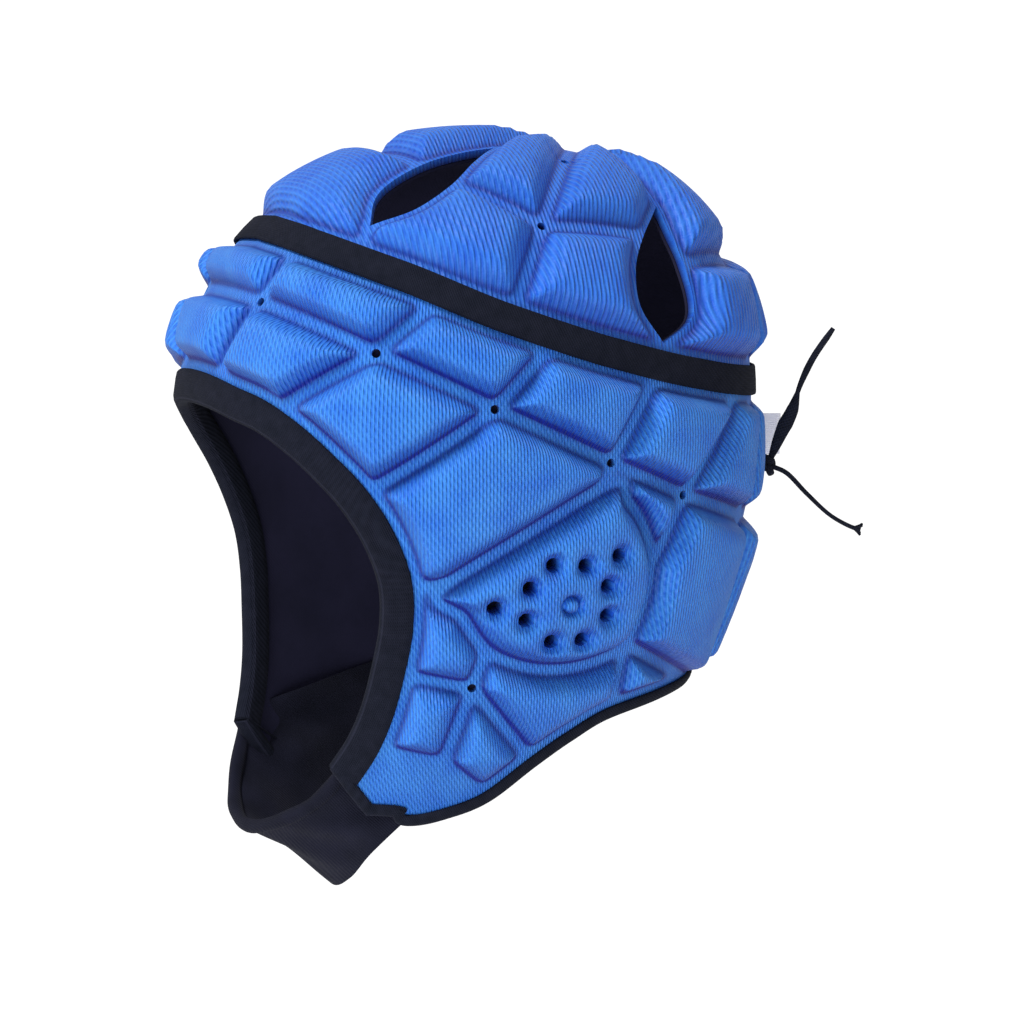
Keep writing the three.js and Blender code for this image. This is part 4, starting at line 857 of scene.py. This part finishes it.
def shell_mesh(cells, seam, fine, low, high=None):
    """All cells of one shell with their mirrored copies, its inner face and the walls at its open edges."""
    bases, faces, heights, pasts, lips = [], [], [], [], []
    for cell in cells:
        base, triangles, height, past, lip = cell_mesh(cell, seam, fine)
        for side in ((1,) if cell[1] else (1, -1)):
            count = sum(map(len, bases))
            bases.append(base * (side, 1, 1))
            faces.append((triangles if side == 1 else triangles[:, ::-1]) + count)
            heights.append(height)
            pasts.append(past)
            lips.append(lip)
    base, faces, height = np.vstack(bases), np.vstack(faces), np.concatenate(heights)
    if high is not None:
        height = np.full(len(base), float(high))
    past, lip = np.concatenate(pasts), np.concatenate(lips)
    _, first, which = np.unique(np.round(base, 3) + 0.0, axis=0, return_index=True, return_inverse=True)
    base, height, past, lip = base[first], height[first], past[first], lip[first]
    faces = which.ravel()[faces]
    faces = faces[(faces[:, 0] != faces[:, 1]) & (faces[:, 1] != faces[:, 2]) & (faces[:, 2] != faces[:, 0])]
    edges = np.vstack([faces[:, [0, 1]], faces[:, [1, 2]], faces[:, [2, 0]]])
    there = {(a, b) for a, b in edges.tolist()}
    rim = np.array([(a, b) for a, b in there if (b, a) not in there])
    rim_points = np.unique(rim)
    lowered = np.full(len(base), -1)
    lowered[rim_points] = len(base) + np.arange(len(rim_points))
    skirt = np.vstack([np.stack([rim[:, 1], rim[:, 0], lowered[rim[:, 0]]], 1),
                       np.stack([rim[:, 1], lowered[rim[:, 0]], lowered[rim[:, 1]]], 1)])
    normal = form_normal(base)
    outer = base + normal * height[:, None]
    inner = base[rim_points] + normal[rim_points] * low
    inner_all = base + normal * low
    inner_index = np.arange(len(base)) + len(base) + len(rim_points)
    inner_index[rim_points] = lowered[rim_points]
    points = np.vstack([outer, inner, inner_all])
    faces = np.vstack([faces, skirt, inner_index[faces][:, ::-1]])
    past = np.concatenate([past, np.full(len(rim_points), -9.0), np.full(len(base), -9.0)])
    lip = np.concatenate([lip, lip[rim_points], np.zeros(len(base))])
    depth = np.concatenate([np.zeros(len(base)), np.ones(len(rim_points)), np.ones(len(base))])
    used = np.unique(faces)
    renumber = np.zeros(len(points), int)
    renumber[used] = np.arange(len(used))
    form = np.vstack([base, base[rim_points], base])[used]
    return points[used], renumber[faces], past[used], lip[used], depth[used], form


WEAVE_RADIUS = 88


def weave_place(form, crown):
    """Where the mesh's ribs are counted: from front to back on the crown, and round the head on the sides."""
    if crown:
        return np.stack([form[:, 1], form[:, 0], form[:, 2]], 1)
    around = np.arctan2(form[:, 0], -form[:, 1])
    return np.stack([around * WEAVE_RADIUS, form[:, 2], 0 * around], 1)


def mesh_paint(rib_period, rib_length, rib_depth, low, high):
    """Blue knitted mesh: ribs, a fine grain and blotches, with painted deep-blue shade at the foot of each
    pad and on faces that turn downwards, painted shade round the ear holes and along the pressed ring, and
    dark blue on cut walls and the inner face.
    """
    def paint(wire):
        place = wire.vector("weave")
        across, up = place.axis(0), place.axis(1)
        wobble = wire.noise(place, 0.06, 1.0) * 2.5
        rib = (across * (TURN / rib_period) + wobble).sine()
        stitch = (up * (TURN / rib_length) + across * (math.pi / rib_period) + wobble).sine()
        knit = rib * 0.75 + rib * stitch * 0.35
        blotch, grain = wire.noise(place, 0.09), wire.noise(place, 1.4)
        past, lip = wire.value("past"), wire.value("lip")
        # Painted shade: a deep-blue band along the foot of each pad wall.
        foot = wire.maths("EXPONENT", 0 - (past - 0.4) * (past - 0.4) / 1.1)
        # Painted shade: faces that turn downwards are darkened by their normal.
        below = ((0 - wire.node("NewGeometry", output=1).axis(2) - 0.18) * 1.6).clamped()
        # The lip round the ear holes and along the pressed ring is painted darker: painted shade in those
        # hollows.
        light = 0.42 + knit * rib_depth * 0.3 + (blotch - 0.5) * 0.7 + (grain - 0.5) * 0.5 - lip * 0.25
        top = wire.mix(light.clamped(), colour(*low), colour(*high))
        # The painted shade colour, mixed in at the pad feet and on faces that turn downwards.
        shaded = wire.mix((foot * 0.7 + below * 0.65).clamped(), top, colour(10, 32, 140))
        in_cut = wire.value("depth").clamped()
        return wire.mix(in_cut, shaded, colour(14, 32, 100)), knit * 0.8 + grain * 0.5
    return paint


def shell_piece(name, cells, seam, paint, node):
    """One shell of moulded pads under its painted mesh."""
    points, faces, past, lip, depth, form = shell_mesh(cells, seam, True, INNER)
    weave = weave_place(form, crown=seam == "seam_above")
    piece = mesh_piece(name, points, faces, {"weave": weave, "past": past, "lip": lip, "depth": depth}, 62,
                       [node])
    piece.data.materials.append(cloth_material(name + "_mesh", paint, 0.5, 0.05, 0.35, 0.3))
    return piece


# The crown's blues are set darker than the sides': painted shade that offsets the stronger light from the
# lamp above on the crown.
crown_paint = mesh_paint(rib_period=1.5, rib_length=4.0, rib_depth=0.75, low=(14, 80, 202),
                         high=(62, 138, 232))
side_paint = mesh_paint(rib_period=1.15, rib_length=3.2, rib_depth=0.8, low=(14, 88, 210),
                        high=(74, 160, 242))
shell_piece("crown_pads", CROWN_CELLS, "seam_above", crown_paint, "crown_shell")
shell_piece("side_pads", SIDE_CELLS, "seam_below", side_paint, "side_shell")

# Linings
# A thin navy jersey lies against the foam inside both shells. It shows through the face opening and the
# vents, and inside the round holes.
LININGS = [
    {"node": "crown_lining", "cells": CROWN_CELLS, "seam": "seam_above", "flat": (210, 170),
     "on": "crown_pads"},
    {"node": "side_lining", "cells": SIDE_CELLS, "seam": "seam_below", "flat": (560, 110),
     "on": "side_pads"}]


def jersey_paint(wire):
    """Dark jersey with faint cloudy wear."""
    place = wire.place()
    weave = (place.axis(2) * CLOTH_WEAVE).sine() * (place.axis(1) * CLOTH_WEAVE).sine()
    return wire.mix(wire.noise(place, 45.0, 3.0), colour(28, 29, 46), colour(46, 45, 70)), weave


jersey = cloth_material("jersey", jersey_paint, 0.95, 0.01, 0.02)
for row in LININGS:
    points, faces, _, _, _, _ = shell_mesh(row["cells"], row["seam"], False, 0, LINING)
    lining = mesh_piece(row["node"] + "_jersey", points, faces, None, 60, [row["node"]])
    lining.data.materials.append(jersey)
    [side * MM for side in row["flat"]]

# Band and bindings
# Navy stretch tape: one flat loop sewn over the seam between crown and sides, and folded tapes over the
# edges of the face opening, the hem and the rear slit.
BAND_STATIONS = 300
TAPE_STEP = 0.11
SLIT_TAPE_STOP = 0.19
FLAP_END_STATIONS, FLAP_END_OVERLAP = 12, 0.06
# Shifts a closed tape's across values so that the painted fold highlight misses it.
CLOSED_TAPE_SHIFT = 20
# Each section is a list of (inward from the edge, height off the head form).
FACE_SECTION = [(8.6, 4.4), (8.6, 5.0), (8.2, 5.3), (6, 5.45), (3, 5.5), (0.6, 5.6), (-0.9, 5.3),
                (-2.0, 4.6), (-2.65, 3.4), (-2.7, 2.1), (-2.5, 0.7), (-1.8, -0.4), (-0.7, -0.95),
                (0.6, -1.1), (4, -1.1), (6.6, -1.05), (6.8, -0.7), (6.6, -0.35), (3, -0.3),
                (-0.2, -0.25), (-0.3, 2), (-0.25, 4.3), (4, 4.35)]
HEM_SECTION = [(2.9, 4.4), (2.9, 5.0), (2.6, 5.3), (1.5, 5.5), (0.4, 5.5), (-0.7, 5.2), (-1.5, 4.5),
               (-1.9, 3.4), (-1.9, 1.6), (-1.6, 0.3), (-1.0, -0.6), (0, -1.0), (1.5, -1.05),
               (2.4, -1.0), (2.6, -0.7), (2.4, -0.35), (1, -0.3), (-0.2, -0.25), (-0.3, 2),
               (-0.25, 4.3), (1.5, 4.35)]
BAND_SECTION = [(-5, 4.7), (0, 4.62), (5, 4.7), (5.1, 5.1), (4.9, 5.6), (4.4, 5.8), (0, 5.85),
                (-4.4, 5.8), (-4.9, 5.6), (-5.1, 5.1)]


def tape_paint(wire):
    """Navy twill with a ribbed bump and a painted highlight: a paler line along the crest where the tape
    folds over an edge.
    """
    place = wire.place()
    across = wire.value("across")
    rib = (across * 9.0).sine()
    twill = ((place.axis(0) + place.axis(1) * 1.3 + place.axis(2) * 0.8) * CLOTH_WEAVE).sine()
    # Painted highlight: a paler line along the crest of the fold.
    painted_fold_highlight = wire.maths("EXPONENT", 0 - (across + 1.3) * (across + 1.3) * 14)
    shade = (wire.noise(place, 260.0) * 0.55 + twill * 0.12 + painted_fold_highlight * 0.55).clamped()
    return wire.mix(shade, colour(14, 18, 29), colour(40, 42, 58)), twill * 0.6 + rib * 0.4


tape = cloth_material("tape", tape_paint, 0.85, 0.01, 0.12)


def swept_tape(name, edges, off, section, closed, nodes):
    """A tape along an edge of the form. A closed one has no fold, so its paint puts no painted fold highlight
    on it.
    """
    normal = form_normal(edges)
    rings = []
    for inward, height in section:
        foot = landed(edges - off * inward, normal)
        rings.append(lifted(foot, height))
    points = np.stack(rings, 1).reshape(-1, 3)
    faces = ring_faces(len(edges), len(section), closed)
    across = np.tile([inward + (CLOSED_TAPE_SHIFT if closed else 0) for inward, _ in section], len(edges))
    piece = mesh_piece(name, points, faces, {"across": across}, 60, nodes, face_out=True)
    piece.data.materials.append(tape)
    return piece


def run_of(points, closed=False):
    """The length of a line of points, in metres."""
    steps = np.diff(np.vstack([points, points[:1]]) if closed else points, axis=0)
    return float(np.linalg.norm(steps, axis=1).sum()) * MM


band_turns = np.arange(BAND_STATIONS) * 360 / BAND_STATIONS
band_edges = on_side(band_turns, band_level(band_turns))
band_along = unit(np.roll(band_edges, -1, axis=0) - np.roll(band_edges, 1, axis=0))
band_off = unit(np.cross(band_along, form_normal(band_edges)))
band = swept_tape("band_tape", band_edges, band_off, BAND_SECTION, True, ["band"])

face_reach = len(FACE_LINE) - 1 + 0.05
face_t = np.arange(-face_reach, face_reach + 1e-6, TAPE_STEP)
face_edges, face_off = line_edge(FACE_LINE, FACE_MARGIN, face_t)
face_tape = swept_tape("face_tape", face_edges, face_off, FACE_SECTION, False, ["face_binding"])

hem_t = np.arange(0, len(HEM_LINE) - 1 - SLIT_TAPE_STOP, TAPE_STEP / 2)
flap_low, flap_high = (place_of(label, "seam_below")[0] for label in ("face_end", "hem_end"))
overlap = (flap_high - flap_low) * FLAP_END_OVERLAP
across_flap = np.linspace(0, 1, FLAP_END_STATIONS)[:, None]
end_edges = landed(flap_low - overlap + (flap_high - flap_low + 2 * overlap) * across_flap)
end_off = unit(np.cross(unit(np.gradient(end_edges, axis=0)), form_normal(end_edges)))
for name, side in (("left", 1), ("right", -1)):
    runs = [("hem_tape_", *line_edge(HEM_LINE, HEM_MARGIN, hem_t), [f"hem_binding_{name}"]),
            ("flap_end_tape_", end_edges, end_off, [])]
    for kind, edges, off, nodes in runs:
        mirror = (side, 1, 1)
        hem_tape = swept_tape(kind + name, edges * mirror, off * mirror, HEM_SECTION, False, nodes)

# Chin strap
# Soft navy cloth, doubled, gathered where it is sewn inside the jaw flaps and rolled along its front edge.
# Rows are shares of the half width, the half length and the cap's height, from a jaw flap to the middle.
STRAP_FRONT = [(.615, -.600, .810), (.535, -.640, .880), (.440, -.710, .931), (.270, -.781, .967),
               (0, -.818, .993)]
STRAP_REAR = [(.770, -.120, .830), (.660, -.330, .905), (.500, -.530, 1.000), (.280, -.545, 1.055),
              (0, -.525, 1.083)]
STRAP_FRONT_FAR = [(.660, -.610, .850), (.600, -.665, .905), (.460, -.735, .960), (.270, -.785, .990),
                   (0, -.818, .993)]
STRAP_REAR_FAR = [(.900, .060, .800), (.790, -.060, .880), (.620, -.300, .960), (.310, -.500, 1.045),
                  (0, -.525, 1.083)]
STRAP_THICKNESS, STRAP_BOW, STRAP_ROLL = 1.8, 1.5, 4.8
STRAP_RINGS, STRAP_ACROSS, ROLL_SIDES = 161, 32, 24
BROAD_FOLD, FINE_FOLD = 1.5, 0.7
ROLL_ENDS = 0.05


def strap_edge(near_rows, far_rows):
    """An edge of the strap from the near jaw flap to the far one."""
    scale = np.array([HEAD_WIDTH / 2, HEAD_LENGTH / 2, -CAP_HEIGHT])
    left, right = np.array(near_rows) * scale, np.array(far_rows) * scale * (-1, 1, 1)
    return smooth_line(np.vstack([left, right[-2::-1]]), STRAP_RINGS, False)


strap_front, strap_rear = strap_edge(STRAP_FRONT, STRAP_FRONT_FAR), strap_edge(STRAP_REAR, STRAP_REAR_FAR)
strap_along = unit(np.gradient(strap_front, axis=0))
strap_across = unit(strap_rear - strap_front)
strap_out = unit(np.cross(strap_along, strap_across))
share = np.linspace(0, 1, STRAP_RINGS)[:, None]
across = np.linspace(0, 1, STRAP_ACROSS)[None, :]
inner_face = (strap_front[:, None] * (1 - across[..., None]) + strap_rear[:, None] * across[..., None]
              - strap_out[:, None] * (STRAP_BOW * np.sin(math.pi * across))[..., None])
gather = np.abs(2 * share - 1)
folds = (BROAD_FOLD * np.sin((across * 2.1 + share * 13) * math.pi)
         + FINE_FOLD * np.sin(across * 5 - share * 22 + 1))
fold = folds * np.sin(math.pi * across) * (0.35 + 0.65 * gather)
middle_sheet = inner_face + strap_out[:, None] * fold[..., None]
half = STRAP_THICKNESS / 2
outer_sheet, inner_sheet = middle_sheet + strap_out[:, None] * half, middle_sheet - strap_out[:, None] * half
loop = np.concatenate([outer_sheet, inner_sheet[:, ::-1]], 1)
strap_share = np.broadcast_to(np.concatenate([across, across[:, ::-1]], 1), loop.shape[:2]).ravel()


def strap_paint(wire):
    """Navy cloth, softly mottled."""
    place = wire.place()
    weave = (place.axis(2) * 6000 + place.axis(1) * 6000).sine()
    shade = wire.noise(place, 90.0, 3.0)
    return wire.mix(shade, colour(14, 16, 27), colour(32, 33, 50)), weave * 0.4 + shade


strap_cloth = cloth_material("strap_cloth", strap_paint, 0.85, 0.02, 0.2)
strap = mesh_piece("strap_cloth_loop", loop.reshape(-1, 3), ring_faces(STRAP_RINGS, 2 * STRAP_ACROSS),
                   {"across": strap_share}, 60, ["chin_strap"], face_out=True)
roll_line = strap_front - strap_across * (STRAP_ROLL / 2 - 0.2)
keep = slice(int(STRAP_RINGS * ROLL_ENDS), int(STRAP_RINGS * (1 - ROLL_ENDS)))
roll_size = STRAP_ROLL * (1 + 0.06 * np.sin(np.linspace(0, 40, STRAP_RINGS)))
roll_points, roll_faces, roll_around = flat_tube(roll_line[keep], roll_size[keep], roll_size[keep] * 0.95,
                                                 strap_across[keep], ROLL_SIDES)
strap_roll = mesh_piece("strap_rolled_edge", roll_points, roll_faces, {"across": roll_around}, 60,
                        ["chin_strap_roll"], face_out=True)
strap.data.materials.append(strap_cloth)
strap_roll.data.materials.append(strap_cloth)
strap_width = float(np.linalg.norm(strap_rear - strap_front, axis=1).mean()) * MM
run_of((strap_front + strap_rear) / 2)

# Lace crossings
# Three crossings of the same flat lace hold the rear slit, between the bindings of its two edges.
RUNG_LEVELS = (0.487, 0.56, 0.65)
RUNG_HALF_TURN, RUNG_WIDTH, RUNG_THICKNESS, RUNG_HEIGHT, RUNG_END_DIP = 5.5, 4.5, 1.2, 6.8, 1.0
RUNG_STATIONS = 25
UPRIGHT = (0, 0, 1.0)
turn = np.linspace(-1, 1, RUNG_STATIONS)
for number, level in enumerate(RUNG_LEVELS, 1):
    rung_line = lifted(on_side(180 - turn * RUNG_HALF_TURN, level), RUNG_HEIGHT - RUNG_END_DIP * turn**6)
    points, faces, around = flat_tube(rung_line, RUNG_WIDTH, RUNG_THICKNESS,
                                      np.broadcast_to(UPRIGHT, rung_line.shape))
    rung = mesh_piece(f"lace_crossing_{number}", points, faces, {"around": around},
                      replaces=[f"lace_rung_{number}"])
    rung.data.materials.append(lace_cloth)

# Label
# A small white satin tape, folded double and sewn in beside the slit. It is bare.
label_low, label_high = (np.array(v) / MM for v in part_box("label"))
LABEL_LENGTH, LABEL_HEIGHT, LABEL_THICKNESS, LABEL_LEAN = 15, 15, 0.45, math.radians(15)
LABEL_ROOT_SHIFT = (0.8, 2.0)
LABEL_COLUMNS, LABEL_ROWS = 24, 16
THREAD_WEAVE = 9000
# Strength of the label's painted glow.
PAINTED_LABEL_GLOW = 0.16
label_way = np.array([math.sin(LABEL_LEAN), math.cos(LABEL_LEAN), 0])
label_side = np.array([label_way[1], -label_way[0], 0])
label_root = np.array([label_low[0] + LABEL_ROOT_SHIFT[0], label_low[1] + LABEL_ROOT_SHIFT[1],
                       (label_low[2] + label_high[2]) / 2])
along = np.linspace(0, 1, LABEL_COLUMNS)
leaf = along**0.7 * (1 - along) ** 0.35 * 0.9 + LABEL_THICKNESS / 2
profile = np.vstack([np.stack([along, leaf], 1), np.stack([along, -leaf], 1)[::-1]])
heights = np.linspace(-1, 1, LABEL_ROWS)
label_points = np.array([
    label_root + label_way * LABEL_LENGTH * s + label_side * (w + 0.5 * s * math.sin(h * 1.8))
    + np.array([0, 0, h * LABEL_HEIGHT / 2]) for h in heights for s, w in profile])
label = mesh_piece("label_tape", label_points, ring_faces(len(heights), len(profile)), None, 50, ["label"])


def satin_paint(wire):
    """White satin with fine level threads."""
    thread = (wire.place().axis(2) * THREAD_WEAVE).sine()
    return wire.mix((thread * 0.3 + 0.5).clamped(), colour(232, 231, 246), colour(252, 251, 255)), thread


satin = cloth_material("satin", satin_paint, 0.5, 0.1, 0.05, 0.3)
# Painted light: the label glows faintly so that it stays bright where it faces away from the lamps.
satin_shader = satin.node_tree.nodes["Principled BSDF"]
satin_shader.inputs["Emission Color"].default_value = (0.92, 0.92, 1, 1)
satin_shader.inputs["Emission Strength"].default_value = PAINTED_LABEL_GLOW
label.data.materials.append(satin)

# Floor, backdrop and light
# A pale floor far below, a white sheet behind the cap for the camera, a soft lamp above the front and a
# weaker one from below that stands for light thrown back by a white table.
FLOOR_LEVEL, FLOOR_SIZE, FLOOR_TONE = -1.2, 30, 0.88
BACKDROP_DISTANCE, BACKDROP_SIZE, BACKDROP_GLOW = 3.0, 1.6, 1.1
SKY_STRENGTH = 0.5
LAMPS = [{"name": "key", "place": (0.35, -1.4, 1.9), "size": 0.9, "power": 50},
         {"name": "bounce", "place": (1.1, -0.9, -0.75), "size": 0.9, "power": 13}]


def studio_sheet(name, size, tone, glow):
    """A square sheet of the studio, lying level at the origin."""
    half = size / 2
    mesh = bpy.data.meshes.new(name)
    mesh.from_pydata([(-half, -half, 0), (half, -half, 0), (half, half, 0), (-half, half, 0)], [],
                     [(0, 1, 2, 3)])
    material = bpy.data.materials.new(name)
    material.use_nodes = True
    shader = material.node_tree.nodes["Principled BSDF"]
    shader.inputs["Base Color"].default_value = (tone, tone, tone, 1)
    shader.inputs["Roughness"].default_value = 0.9
    shader.inputs["Emission Color"].default_value = (1, 1, 1, 1)
    shader.inputs["Emission Strength"].default_value = glow
    mesh.materials.append(material)
    sheet = bpy.data.objects.new(name, mesh)
    bpy.context.scene.collection.objects.link(sheet)
    return sheet


floor = studio_sheet("floor", FLOOR_SIZE, FLOOR_TONE, 0)
floor.location = (0, 0, FLOOR_LEVEL)
backdrop = studio_sheet("backdrop", BACKDROP_SIZE, 0, BACKDROP_GLOW)
backdrop.location = AIM - camera_back * BACKDROP_DISTANCE
backdrop.rotation_euler = camera_back.to_track_quat("Z", "Y").to_euler()

world = bpy.data.worlds.new("studio")
world.use_nodes = True
world.node_tree.nodes["Background"].inputs["Color"].default_value = (1, 1, 1, 1)
world.node_tree.nodes["Background"].inputs["Strength"].default_value = SKY_STRENGTH
bpy.context.scene.world = world
for row in LAMPS:
    lamp = bpy.data.objects.new(row["name"], bpy.data.lights.new(row["name"], "AREA"))
    lamp.data.size = row["size"]
    lamp.data.energy = row["power"]
    lamp.location = row["place"]
    lamp.rotation_euler = (AIM - Vector(row["place"])).to_track_quat("-Z", "Y").to_euler()
    bpy.context.scene.collection.objects.link(lamp)
bpy.context.scene.view_settings.view_transform = "Standard"
